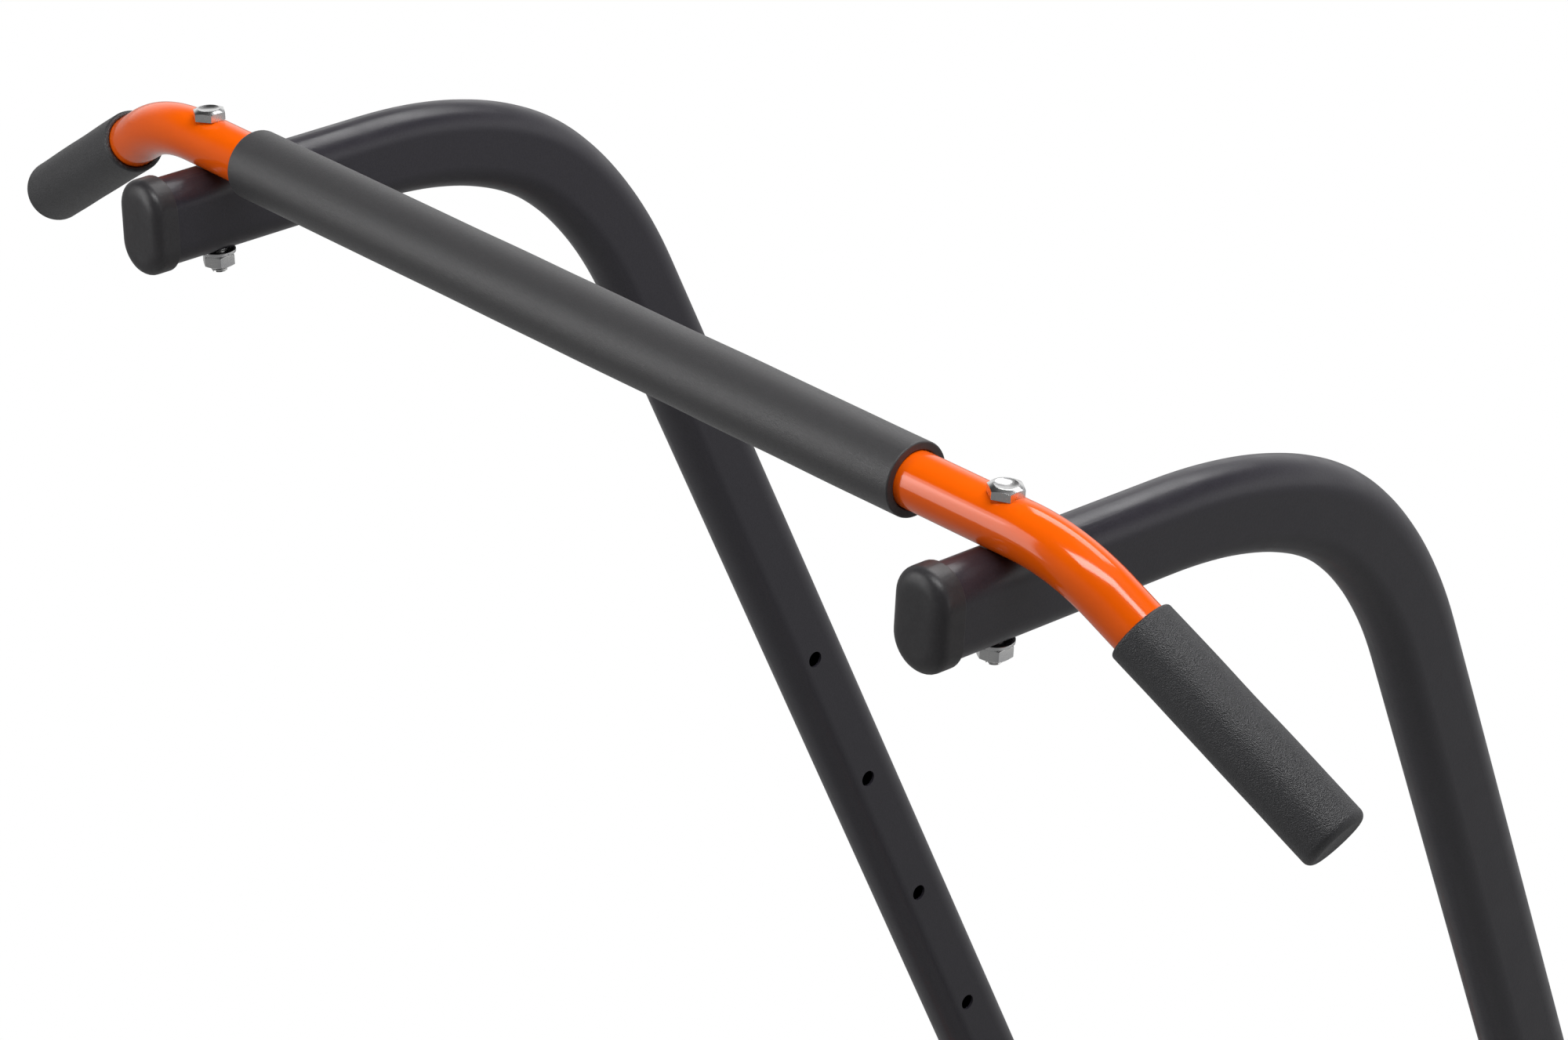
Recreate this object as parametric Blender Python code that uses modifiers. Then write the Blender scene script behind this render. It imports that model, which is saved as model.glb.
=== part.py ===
"""Pull-up and dip station: two gooseneck uprights, a pull-up bar, two sliding dip arms and a floor frame.

Metres, +Z up. The floor is z = 0 and the user hangs at the front, towards -Y. "Right" is +X.
Each upright is modelled in its own side frame, whose origin is its bolt on the axis of the pull-up bar.
"""

import math

import bmesh
import bpy
from mathutils import Matrix, Vector

# Clearances
GAP = 0.0003
HOLE_CLEARANCE = 0.0005
FRAME_HOLE_ROOM = 0.0006

# Pull-up bar
BAR_HEIGHT = 2.12
BAR_DIAMETER = 0.032
BAR_WALL = 0.002
BAR_BEND_START = 0.014
BAR_BEND_RADIUS = 0.109
BAR_BEND_ANGLE = math.radians(33.1)
BAR_BEND_ROLL = math.radians(14.5)
BAR_END_LENGTH = 0.159
BAR_SINK = 0.003
SADDLE_ROOM = 0.0005
FOAM_DIAMETER = 0.0425
FOAM_LENGTH = 0.569
FOAM_SHIFT = -0.0098
END_GRIP_DIAMETER = 0.0388
END_GRIP_START = 0.021
END_GRIP_LENGTH = 0.145
GRIP_END_WALL = 0.006

# Uprights: flat rounded tube, level arm, one large bend, straight leg
UPRIGHT_SPACING = 0.6785
TUBE_DEPTH = 0.054
TUBE_WIDTH = 0.034
TUBE_CORNER = 0.0125
TUBE_WALL = 0.002
ARM_FRONT = 0.0522
ARM_BACK = 0.118
BEND_RADIUS = 0.238
BEND_EASE = 0.476
BEND_ANGLE = math.radians(65.9)
BEND_SWELL = 0.001
BEND_STEPS = 12
BEND_SUBSTEPS = 8
LEGS_CLOSE_IN = 0.0458
LEGS_SPREAD_BACK = 0.0168
CAP_LENGTH = 0.017
CAP_WALL = 0.0024
CAP_ROUNDING = 0.0055

# Adjustment holes in the inner face of each leg, counted down from the bend
HOLE_DIAMETER = 0.0115
FIRST_HOLE = 0.345
HOLE_PITCH = 0.1207
HOLE_COUNT = 7
HOLE_SHIFT = -0.0037

# Fasteners
BAR_BOLT_DIAMETER = 0.010
BAR_BOLT_FLATS = 0.018
BAR_BOLT_HEAD = 0.0065
BAR_NUT_HEIGHT = 0.0085
BAR_BOLT_TIP = 0.003
WASHER_DIAMETER = 0.0215
WASHER_THICKNESS = 0.002
FRAME_BOLT_DIAMETER = 0.008
FRAME_BOLT_HEAD_DIAMETER = 0.018
FRAME_BOLT_HEAD = 0.004
FRAME_NUT_FLATS = 0.013
FRAME_NUT_HEIGHT = 0.0065
FRAME_BOLT_TIP = 0.0025

# Floor frame
RAIL_SIZE = 0.050
RAIL_CORNER = 0.006
RAIL_WALL = 0.002
SHOE_WALL = 0.004
SHOE_SOLE = 0.008
SHOE_LENGTH = 0.070
BASE_WIDTH = 1.000
FRONT_REACH = 0.200
STABILISER_INSET = 0.050
REAR_BOLT_RUN = 0.068
PLUG_FLANGE = 0.004
PLUG_DEPTH = 0.018
FOOT_PLATE = (0.060, 0.170, 0.006)
FOOT_BOLT_RUN = -0.062
BRACE_WIDTH = 0.025
BRACE_DEPTH = 0.040
BRACE_CORNER = 0.006
BRACE_WALL = 0.0018
BRACE_RISE = 0.52
BRACE_RUN = 0.60
BRACE_PLATE = (0.034, 0.110, 0.006)
BRACE_BOLT_OFFSET = 0.041
VENT_DIAMETER = 0.006

# Dip arms
LINER_WALL = 0.002
SLEEVE_WALL = 0.003
SLEEVE_LENGTH = 0.150
LINER_LENGTH = 0.032
LINER_FLANGE = 0.003
SOCKET_DIAMETER = 0.040
SOCKET_REACH = 0.135
SOCKET_DEPTH = 0.090
SOCKET_DROP = 0.010
DIP_ARM_LENGTH = 0.440
DIP_GRIP_LENGTH = 0.200
GUSSET_THICKNESS = 0.005
DIP_BOLT_REACH = 0.114
GUSSET_REACH = 0.098

# Pull pins, measured from the inner face of the leg towards the user
PIN_DIAMETER = 0.010
PIN_TIP = -0.008
COLLAR_DIAMETER = 0.014
COLLAR_THICKNESS = 0.003
STEM_DIAMETER = 0.008
NECK_DIAMETER = 0.016
FLANGE_DIAMETER = 0.026
FLANGE_THICKNESS = 0.004
HOUSING_DIAMETER = 0.021
CHAMBER_DIAMETER = 0.0155
CHAMBER_FLOOR = 0.013
CHAMBER_TOP = 0.037
HOUSING_TOP = 0.040
KNOB_DIAMETER = 0.030
KNOB_HEIGHT = 0.024
SPRING_WIRE = 0.0012
SPRING_DIAMETER = 0.0118
SPRING_TURNS = 3
SPRING_GAP = 0.0005

# Values that follow
HEAD_ROOM = LEGS_CLOSE_IN * BAR_BOLT_FLATS / math.sqrt(3)
ARM_TOP = BAR_SINK - BAR_DIAMETER / 2
SIDES = {"left": -1, "right": 1}
ROUND_STEPS = 20
RAIL_BOTTOM = SHOE_SOLE
STABILISER_MID = RAIL_BOTTOM + RAIL_SIZE / 2
RAIL_MID = STABILISER_MID + RAIL_SIZE + GAP
RAIL_TOP = RAIL_MID + RAIL_SIZE / 2
PLATE_BOTTOM = RAIL_TOP + GAP
FIT = GAP + LINER_WALL + GAP
SLEEVE_OUTER = FIT + SLEEVE_WALL
LAST_HOLE = FIRST_HOLE + HOLE_PITCH * (HOLE_COUNT - 1)


def start_scene():
    """Empty the scene and make one collection for the parts and one for the cutters."""
    for item in list(bpy.data.objects):
        bpy.data.objects.remove(item, do_unlink=True)
    parts = bpy.data.collections.new("pull_up_dip_station")
    cutters = bpy.data.collections.new("cutters")
    for group in (parts, cutters):
        bpy.context.scene.collection.children.link(group)
    return parts, cutters


PARTS, CUTTERS = start_scene()


def finish(name, colour, roughness, metallic):
    """A plain surface finish for a piece."""
    made = bpy.data.materials.new(name)
    made.use_nodes = True
    shader = made.node_tree.nodes["Principled BSDF"]
    shader.inputs["Base Color"].default_value = (*colour, 1.0)
    shader.inputs["Roughness"].default_value = roughness
    shader.inputs["Metallic"].default_value = metallic
    return made


BLACK_PAINT = finish("black_paint", (0.035, 0.033, 0.036), 0.45, 0.0)
ORANGE_PAINT = finish("orange_paint", (0.90, 0.13, 0.004), 0.15, 0.0)
BLACK_FOAM = finish("black_foam", (0.06, 0.06, 0.06), 0.85, 0.0)
GREY_FOAM = finish("grey_foam", (0.045, 0.045, 0.048), 0.9, 0.0)
BLACK_PLASTIC = finish("black_plastic", (0.03, 0.029, 0.031), 0.4, 0.0)
BLACK_RUBBER = finish("black_rubber", (0.02, 0.02, 0.02), 0.8, 0.0)
BRIGHT_STEEL = finish("bright_steel", (0.78, 0.78, 0.78), 0.2, 1.0)
DARK_STEEL = finish("dark_steel", (0.12, 0.12, 0.12), 0.4, 1.0)


# Geometry helpers

def frame_on(origin, z_axis, x_axis):
    """Matrix at origin whose Z runs along z_axis and whose X is as near x_axis as it can be."""
    z = Vector(z_axis).normalized()
    x = (Vector(x_axis) - z * z.dot(Vector(x_axis))).normalized()
    turned_axes = Matrix((x, z.cross(x), z)).transposed().to_4x4()
    turned_axes.translation = Vector(origin)
    return turned_axes


def rounded_rectangle(width, depth, corner, steps=3):
    """Points round a rectangle with round corners, as (x, y) pairs."""
    points = []
    for quarter, (sx, sy) in enumerate(((1, 1), (-1, 1), (-1, -1), (1, -1))):
        for step in range(steps + 1):
            angle = math.radians(90 * (quarter + step / steps))
            points.append((sx * (width / 2 - corner) + corner * math.cos(angle),
                           sy * (depth / 2 - corner) + corner * math.sin(angle)))
    return points


def add_object(name, mesh, matrix, material=None):
    """Put a mesh in the scene: as a part when it has a material, otherwise as a cutter."""
    made = bpy.data.objects.new(name, mesh)
    made.matrix_world = matrix
    if material is None:
        CUTTERS.objects.link(made)
        made.hide_render = True
        made.display_type = "WIRE"
    else:
        PARTS.objects.link(made)
        mesh.materials.append(material)
    return made


def mesh_from(name, bm):
    """Close a bmesh into a new mesh."""
    mesh = bpy.data.meshes.new(name)
    bm.to_mesh(mesh)
    bm.free()
    return mesh


def mesh_of_curve(curve):
    """The mesh of a curve object, its caps welded and its faces turned outward; the curve goes."""
    bpy.context.view_layer.update()
    evaluated = curve.evaluated_get(bpy.context.evaluated_depsgraph_get())
    mesh = bpy.data.meshes.new_from_object(evaluated)
    data = curve.data
    bpy.data.objects.remove(curve)
    bpy.data.curves.remove(data)
    bm = bmesh.new()
    bm.from_mesh(mesh)
    bmesh.ops.remove_doubles(bm, verts=bm.verts, dist=1e-5)
    bmesh.ops.recalc_face_normals(bm, faces=bm.faces)
    bm.to_mesh(mesh)
    bm.free()
    return mesh


def turn_outward(mesh, spine):
    """Flip an open tube whose faces look at its spine, a list of points along its middle."""
    bm = bmesh.new()
    bm.from_mesh(mesh)
    bm.normal_update()
    score = 0
    for face in bm.faces:
        centre = face.calc_center_median()
        nearest = min(spine, key=lambda point: (point - centre).length)
        score += 1 if face.normal.dot(centre - nearest) > 0 else -1
    if score < 0:
        bmesh.ops.reverse_faces(bm, faces=bm.faces)
    bm.to_mesh(mesh)
    bm.free()


def extruded(name, outline, length, filled=True):
    """Mesh of a flat outline drawn out along Z, centred, solid or as an open tube of faces."""
    curve = bpy.data.curves.new(name, "CURVE")
    curve.dimensions = "2D"
    curve.fill_mode = "BOTH" if filled else "NONE"
    curve.extrude = length / 2
    spline = curve.splines.new("POLY")
    spline.points.add(len(outline) - 1)
    for point, (x, y) in zip(spline.points, outline):
        point.co = (x, y, 0.0, 1.0)
    spline.use_cyclic_u = True
    holder = bpy.data.objects.new(name, curve)
    bpy.context.scene.collection.objects.link(holder)
    mesh = mesh_of_curve(holder)
    if not filled:
        levels = 9
        turn_outward(mesh, [Vector((0, 0, length * (i / levels - 0.5))) for i in range(levels + 1)])
    return mesh


def round_tube(name, points, diameter, resolution):
    """Open tube of faces round a line of points."""
    curve = bpy.data.curves.new(name, "CURVE")
    curve.dimensions = "3D"
    curve.bevel_depth = diameter / 2
    curve.bevel_resolution = resolution
    spline = curve.splines.new("POLY")
    spline.points.add(len(points) - 1)
    for point, place in zip(spline.points, points):
        point.co = (*place, 1.0)
    holder = bpy.data.objects.new(name, curve)
    bpy.context.scene.collection.objects.link(holder)
    mesh = mesh_of_curve(holder)
    spine = []
    for start, end in zip(points, points[1:]):
        spine += [Vector(start).lerp(Vector(end), i / 8) for i in range(9)]
    turn_outward(mesh, spine)
    return mesh


def lofted(name, rings, close_end=False):
    """Open skin through rings of equal count, the last one filled if close_end is set."""
    bm = bmesh.new()
    loops = [[bm.verts.new(point) for point in ring] for ring in rings]
    for lower, upper in zip(loops, loops[1:]):
        count = len(lower)
        for i in range(count):
            j = (i + 1) % count
            bm.faces.new((lower[i], lower[j], upper[j], upper[i]))
    if close_end:
        bm.faces.new(loops[-1])
    return mesh_from(name, bm)


def turned(name, profile, material=None, matrix=None, steps=ROUND_STEPS, closed=False):
    """A shape turned about Z from (radius, height) points that run down its outer side."""
    bm = bmesh.new()
    points = [bm.verts.new((radius, 0.0, height)) for radius, height in profile]
    for start, end in zip(points, points[1:]):
        bm.edges.new((start, end))
    if closed:
        bm.edges.new((points[-1], points[0]))
    made = add_object(name, mesh_from(name, bm), matrix or Matrix(), material)
    screw = made.modifiers.new("turn", "SCREW")
    screw.steps = steps
    screw.render_steps = steps
    screw.use_merge_vertices = True
    screw.merge_threshold = 1e-6
    screw.use_smooth_shade = True
    return made


def box_mesh(name, size):
    """A box centred on its origin."""
    bm = bmesh.new()
    bmesh.ops.create_cube(bm, size=1.0, matrix=Matrix.Diagonal((*size, 1.0)))
    return mesh_from(name, bm)


def rods_mesh(name, rods, sides=10):
    """Cylinders between pairs of points, as (start, end, radius)."""
    bm = bmesh.new()
    for start, end, radius in rods:
        start, end = Vector(start), Vector(end)
        hint = (1, 0, 0) if abs((end - start).normalized().x) < 0.9 else (0, 1, 0)
        place = frame_on((start + end) / 2, end - start, hint)
        bmesh.ops.create_cone(bm, cap_ends=True, segments=sides, radius1=radius, radius2=radius,
                              depth=(end - start).length, matrix=place)
    return mesh_from(name, bm)


def join(target, other, operation):
    """Cut with, add or keep the overlap with another object."""
    step = target.modifiers.new(operation.lower(), "BOOLEAN")
    step.operation = operation
    step.object = other
    step.solver = "EXACT"


def drill(target, rods, matrix=None, sides=10):
    """Cut round holes along rods given in the frame of matrix, or in the target's own."""
    name = target.name + "_drill"
    cutter = add_object(name, rods_mesh(name, rods, sides), matrix or target.matrix_world.copy())
    join(target, cutter, "DIFFERENCE")


def hollow(target, wall):
    """Give an open skin a wall, inward from its faces."""
    shell = target.modifiers.new("wall", "SOLIDIFY")
    shell.thickness = wall
    shell.offset = -1.0
    shell.use_even_offset = True


# Frames and paths

def side_frame(side):
    """Frame of one upright: its legs close in towards the floor and spread a little to the back."""
    lean = Matrix.Rotation(LEGS_CLOSE_IN * side, 4, "Y")
    toe = Matrix.Rotation(-LEGS_SPREAD_BACK * side, 4, "Z")
    return Matrix.Translation((side * UPRIGHT_SPACING / 2, BAR_Y, BAR_HEIGHT)) @ lean @ toe


def upright_stations():
    """Centre line of an upright in its side frame: (y, z, slope, share of the bend swell)."""
    z = ARM_TOP - TUBE_DEPTH / 2
    y = ARM_BACK
    stations = [(-ARM_FRONT, z, 0.0, 0.0), (y, z, 0.0, 0.0)]
    count = BEND_STEPS * BEND_SUBSTEPS
    step = BEND_ANGLE / count
    for i in range(count):
        share = (i + 0.5) / count
        radius = BEND_RADIUS * (1 + BEND_EASE * (4 * abs(share - 0.5) - 1))
        y += radius * step * math.cos(step * (i + 0.5))
        z -= radius * step * math.sin(step * (i + 0.5))
        if (i + 1) % BEND_SUBSTEPS == 0:
            slope = step * (i + 1)
            stations.append((y, z, slope, math.sin(math.pi * slope / BEND_ANGLE) ** 2))
    return stations


def leg_frame(distance):
    """Frame on the leg's axis, distance below the bend: Z up the leg, Y out of its rear face."""
    y, z, slope, _ = upright_stations()[-1]
    origin = (0.0, y + distance * math.cos(slope), z - distance * math.sin(slope))
    return frame_on(origin, (0, -math.cos(slope), math.sin(slope)), (1, 0, 0))


def leg_reach(height):
    """Distance below the bend at which the leg's axis, with its lean, is at a height over the floor."""
    top = BAR_HEIGHT + (lean_only() @ leg_frame(0.0).translation).z
    lower = BAR_HEIGHT + (lean_only() @ leg_frame(1.0).translation).z
    return (top - height) / (top - lower)


def lean_only():
    """The turn of a side frame, which is the same height for both sides."""
    lean = Matrix.Rotation(LEGS_CLOSE_IN, 4, "Y")
    return lean @ Matrix.Rotation(-LEGS_SPREAD_BACK, 4, "Z")


FOOT_DISTANCE = leg_reach(PLATE_BOTTOM + FOOT_PLATE[2] / 2)
FOOT_RUN = (lean_only() @ leg_frame(FOOT_DISTANCE).translation).y
BASE_HALF = (FRONT_REACH + FOOT_RUN + REAR_BOLT_RUN + STABILISER_INSET) / 2
BAR_Y = FRONT_REACH - BASE_HALF
FOOT_Y = BAR_Y + FOOT_RUN
FOOT_X = UPRIGHT_SPACING / 2 + (lean_only() @ leg_frame(FOOT_DISTANCE).translation).x
REAR_Y = FOOT_Y + REAR_BOLT_RUN
FRONT_Y = STABILISER_INSET - BASE_HALF
FOOT_BOLT_Y = FOOT_Y + FOOT_BOLT_RUN
BRACE_FOOT_Y = FOOT_Y - BRACE_RUN
BRACE_FOOT_BOLT_Y = BRACE_FOOT_Y - BRACE_BOLT_OFFSET
BRACE_DISTANCE = leg_reach(RAIL_TOP + BRACE_RISE)


# Uprights

def make_upright(name, side):
    """Gooseneck upright with its foot plate, its holes and a saddle notch that the bar lies in."""
    section = rounded_rectangle(TUBE_WIDTH, TUBE_DEPTH, TUBE_CORNER)
    y, z, slope, _ = upright_stations()[-1]
    end = FOOT_DISTANCE + TUBE_DEPTH
    stations = upright_stations() + [(y + end * math.cos(slope), z - end * math.sin(slope), slope, 0.0)]
    rings = []
    for y, z, slope, swell in stations:
        out = Vector((0, math.sin(slope), math.cos(slope)))
        grow = 1 + swell * BEND_SWELL / (TUBE_DEPTH / 2)
        rings.append([Vector((u, y, z)) + out * (v * grow if v < 0 else v) for u, v in section])
    mesh = lofted(name, rings)
    spine = [Vector((0, a[0], a[1])).lerp(Vector((0, b[0], b[1])), i / 20)
             for a, b in zip(stations, stations[1:]) for i in range(21)]
    turn_outward(mesh, spine)
    frame = side_frame(side)
    made = add_object(name, mesh, frame, BLACK_PAINT)
    hollow(made, TUBE_WALL)
    cut_height = PLATE_BOTTOM + FOOT_PLATE[2] / 2
    below = box_mesh(name + "_floor_cut", (0.4, 0.4, 0.4))
    under = Matrix.Translation((side * FOOT_X, FOOT_Y, cut_height - 0.2))
    join(made, add_object(name + "_floor_cut", below, under), "DIFFERENCE")
    plate = box_mesh(name + "_plate", FOOT_PLATE)
    place = Matrix.Translation((side * FOOT_X, FOOT_Y, cut_height))
    join(made, add_object(name + "_plate", plate, place), "UNION")
    reach = FRAME_BOLT_DIAMETER / 2 + HOLE_CLEARANCE
    drill_plate = [((side * FOOT_X, spot, PLATE_BOTTOM - 0.01), (side * FOOT_X, spot, PLATE_BOTTOM + 0.02), reach)
                   for spot in (REAR_Y, FOOT_BOLT_Y)]
    drill(made, drill_plate, Matrix())
    drill(made, upright_holes(side), frame)
    near, far = side * UPRIGHT_SPACING / 2 - TUBE_WIDTH, side * UPRIGHT_SPACING / 2 + TUBE_WIDTH
    saddle = [((near, BAR_Y, BAR_HEIGHT), (far, BAR_Y, BAR_HEIGHT), BAR_DIAMETER / 2 + SADDLE_ROOM)]
    drill(made, saddle, Matrix(), ROUND_STEPS)
    return made


def upright_holes(side):
    """The round holes of an upright, in its side frame."""
    inner = -side * TUBE_WIDTH / 2
    rods = []
    for i in range(HOLE_COUNT):
        place = leg_frame(FIRST_HOLE + i * HOLE_PITCH)
        start = place @ Vector((inner * 1.3, HOLE_SHIFT, 0))
        stop = place @ Vector((inner * 0.3, HOLE_SHIFT, 0))
        rods.append((start, stop, HOLE_DIAMETER / 2))
    rods.append(((0, 0, 0), (0, 0, -BAR_DIAMETER - TUBE_DEPTH), BAR_BOLT_DIAMETER / 2 + HOLE_CLEARANCE))
    place = leg_frame(BRACE_DISTANCE)
    rods.append((place @ Vector((0, -TUBE_DEPTH, BRACE_BOLT_OFFSET)),
                 place @ Vector((0, TUBE_DEPTH, BRACE_BOLT_OFFSET)),
                 FRAME_BOLT_DIAMETER / 2 + HOLE_CLEARANCE))
    return rods


def make_upright_cap(name, side):
    """Plastic cap slipped over the front end of an upright, with round front edges."""
    grow = 2 * (GAP + CAP_WALL)
    rings = []
    levels = [(0.0, 0.0), (CAP_LENGTH - CAP_ROUNDING, 0.0)]
    for step in range(1, 3):
        angle = math.radians(45 * step)
        levels.append((CAP_LENGTH - CAP_ROUNDING * (1 - math.sin(angle)), CAP_ROUNDING * (1 - math.cos(angle))))
    for height, inset in levels:
        outline = rounded_rectangle(TUBE_WIDTH + grow - 2 * inset, TUBE_DEPTH + grow - 2 * inset,
                                    TUBE_CORNER + grow / 2 - inset)
        rings.append([Vector((x, y, height)) for x, y in outline])
    mesh = lofted(name, rings, close_end=True)
    turn_outward(mesh, [Vector((0, 0, CAP_LENGTH * i / 12)) for i in range(10)])
    _, z, _, _ = upright_stations()[0]
    front = -(ARM_FRONT + GAP + CAP_ROUNDING)
    local = frame_on((0, front + CAP_LENGTH, z), (0, -1, 0), (1, 0, 0))
    made = add_object(name, mesh, side_frame(side) @ local, BLACK_PLASTIC)
    hollow(made, CAP_WALL)
    return made


# Pull-up bar and its grips

def bar_end_frame(side):
    """Frame at the end of the bar's bend: Z along the straight outer end."""
    down = Vector((0, math.sin(BAR_BEND_ROLL), -math.cos(BAR_BEND_ROLL)))
    out = Vector((side, 0, 0))
    start = out * (UPRIGHT_SPACING / 2 + BAR_BEND_START)
    centre = start + down * BAR_BEND_RADIUS
    place = centre + BAR_BEND_RADIUS * (out * math.sin(BAR_BEND_ANGLE) - down * math.cos(BAR_BEND_ANGLE))
    along = out * math.cos(BAR_BEND_ANGLE) + down * math.sin(BAR_BEND_ANGLE)
    return frame_on(place + Vector((0, BAR_Y, BAR_HEIGHT)), along, (0, 1, 0))


def bar_line(steps=4):
    """Centre line of the bar from left to right, its ends bent outward and down."""
    down = Vector((0, math.sin(BAR_BEND_ROLL), -math.cos(BAR_BEND_ROLL)))
    middle = Vector((0, BAR_Y, BAR_HEIGHT))
    right = []
    for step in range(steps + 1):
        angle = BAR_BEND_ANGLE * step / steps
        x = UPRIGHT_SPACING / 2 + BAR_BEND_START + BAR_BEND_RADIUS * math.sin(angle)
        right.append(Vector((x, 0, 0)) + down * BAR_BEND_RADIUS * (1 - math.cos(angle)) + middle)
    right.append(bar_end_frame(1) @ Vector((0, 0, BAR_END_LENGTH)))
    left = [Vector((-point.x, point.y, point.z)) for point in reversed(right)]
    return left + right


def make_bar(name):
    """The steel bar, open at both ends, with a hole for each bolt."""
    made = add_object(name, round_tube(name, bar_line(), BAR_DIAMETER, 5), Matrix(), ORANGE_PAINT)
    hollow(made, BAR_WALL)
    radius = BAR_BOLT_DIAMETER / 2 + HOLE_CLEARANCE
    rods = []
    for side in SIDES.values():
        frame = side_frame(side)
        rods.append((frame @ Vector((0, 0, BAR_DIAMETER)), frame @ Vector((0, 0, -BAR_DIAMETER)), radius))
    drill(made, rods)
    return made


def make_centre_grip(name):
    """Long foam tube on the middle of the bar, its cut ends slightly eased."""
    outer, inner = FOAM_DIAMETER / 2, BAR_DIAMETER / 2 + GAP
    half, ease = FOAM_LENGTH / 2, 0.001
    profile = [(inner, half), (outer - ease, half), (outer, half - ease), (outer, ease - half),
               (outer - ease, -half), (inner, -half)]
    place = frame_on((FOAM_SHIFT, BAR_Y, BAR_HEIGHT), (1, 0, 0), (0, 1, 0))
    return turned(name, profile, BLACK_FOAM, place, closed=True)


def grip_profile(length, diameter, rounding=0.0045):
    """Closed foam grip from its open rim at 0: round closed end, round rim, bore for the tube."""
    outer, inner = diameter / 2, BAR_DIAMETER / 2 + GAP
    profile = [(0.0, length)]
    for step in range(3):
        angle = math.radians(90 - 45 * step)
        profile.append((outer - rounding * (1 - math.cos(angle)), length - rounding * (1 - math.sin(angle))))
    rim = 0.0018
    profile += [(outer, rim), (outer - 0.3 * rim, 0.3 * rim), (outer - rim, 0.0), (inner, 0.0)]
    profile += [(inner, length - GRIP_END_WALL), (0.0, length - GRIP_END_WALL)]
    return profile


def make_end_grip(name, side):
    """Foam grip with a closed round end, on the bent end of the bar."""
    place = bar_end_frame(side) @ Matrix.Translation((0, 0, END_GRIP_START))
    return turned(name, grip_profile(END_GRIP_LENGTH, END_GRIP_DIAMETER), GREY_FOAM, place)


# Bolts, nuts and washers

def hexagon(name, flats, height, matrix, material=None, chamfered=True):
    """Hexagon prism, its outer face chamfered by the overlap with a turned blank."""
    bm = bmesh.new()
    radius = flats / math.sqrt(3)
    bmesh.ops.create_cone(bm, cap_ends=True, segments=6, radius1=radius, radius2=radius, depth=height,
                          matrix=Matrix.Translation((0, 0, height / 2)))
    made = add_object(name, mesh_from(name, bm), matrix, material)
    if not chamfered:
        return made
    chamfer = 0.4 * (radius - flats / 2) + 0.0003
    blank = [(0.0, height), (flats / 2 - 0.0002, height), (radius + 0.0002, height - 2 * chamfer),
             (radius + 0.0002, 0.0), (0.0, 0.0)]
    join(made, turned(name + "_blank", blank, matrix=matrix, steps=12), "INTERSECT")
    return made


def make_bar_bolt(name, side):
    """Hexagon bolt down through the bar and the arm, its tip past the nut."""
    seat = BAR_DIAMETER / 2 + GAP + HEAD_ROOM
    tip = under_arm() - 2 * GAP - WASHER_THICKNESS - BAR_NUT_HEIGHT - BAR_BOLT_TIP
    frame = side_frame(side)
    made = hexagon(name, BAR_BOLT_FLATS, BAR_BOLT_HEAD, frame @ Matrix.Translation((0, 0, seat)), BRIGHT_STEEL)
    rod = [((0, 0, seat + BAR_BOLT_HEAD / 2), (0, 0, tip), BAR_BOLT_DIAMETER / 2)]
    shank = add_object(name + "_shank", rods_mesh(name + "_shank", rod), frame)
    join(made, shank, "UNION")
    return made


def under_arm():
    """Height of the underside of the arm in the side frame."""
    return ARM_TOP - TUBE_DEPTH


def make_bar_washer(name, side):
    """Plain washer under the arm."""
    outer, inner = WASHER_DIAMETER / 2, BAR_BOLT_DIAMETER / 2 + HOLE_CLEARANCE
    low = under_arm() - GAP - WASHER_THICKNESS
    profile = [(inner, low + WASHER_THICKNESS), (outer, low + WASHER_THICKNESS), (outer, low), (inner, low)]
    return turned(name, profile, DARK_STEEL, side_frame(side), closed=True)


def make_bar_nut(name, side):
    """Hexagon nut under the washer."""
    top = under_arm() - 2 * GAP - WASHER_THICKNESS
    frame = side_frame(side) @ frame_on((0, 0, top), (0, 0, -1), (1, 0, 0))
    made = hexagon(name, BAR_BOLT_FLATS, BAR_NUT_HEIGHT, frame, BRIGHT_STEEL)
    radius = BAR_BOLT_DIAMETER / 2 + HOLE_CLEARANCE
    drill(made, [((0, 0, -0.01), (0, 0, 0.02), radius)])
    return made


def make_frame_bolt(name, stack, matrix, material=DARK_STEEL):
    """Round-head bolt with its nut run home: head below z = 0, nut above z = stack."""
    shank, head = FRAME_BOLT_DIAMETER / 2, FRAME_BOLT_HEAD_DIAMETER / 2
    nut_seat = stack + GAP
    tip = nut_seat + FRAME_NUT_HEIGHT + FRAME_BOLT_TIP
    profile = [(0.0, tip), (shank, tip), (shank, -GAP), (head, -GAP)]
    profile += [(0.75 * head, -GAP - 0.7 * FRAME_BOLT_HEAD), (0.0, -GAP - FRAME_BOLT_HEAD)]
    made = turned(name, profile, material, matrix, steps=8)
    place = matrix @ Matrix.Translation((0, 0, nut_seat))
    nut = hexagon(name + "_nut", FRAME_NUT_FLATS, FRAME_NUT_HEIGHT, place, chamfered=False)
    join(made, nut, "UNION")
    return made


# Floor frame

def make_square_tube(name, length, matrix, rods):
    """Square tube along Z, open at both ends, drilled for its bolts."""
    outline = rounded_rectangle(RAIL_SIZE, RAIL_SIZE, RAIL_CORNER, 2)
    made = add_object(name, extruded(name, outline, length, filled=False), matrix, BLACK_PAINT)
    hollow(made, RAIL_WALL)
    drill(made, rods, Matrix(), 8)
    return made


def upright_rod(x, y, low, high):
    """A vertical bolt hole."""
    return ((x, y, low), (x, y, high), FRAME_BOLT_DIAMETER / 2 + FRAME_HOLE_ROOM)


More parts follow.
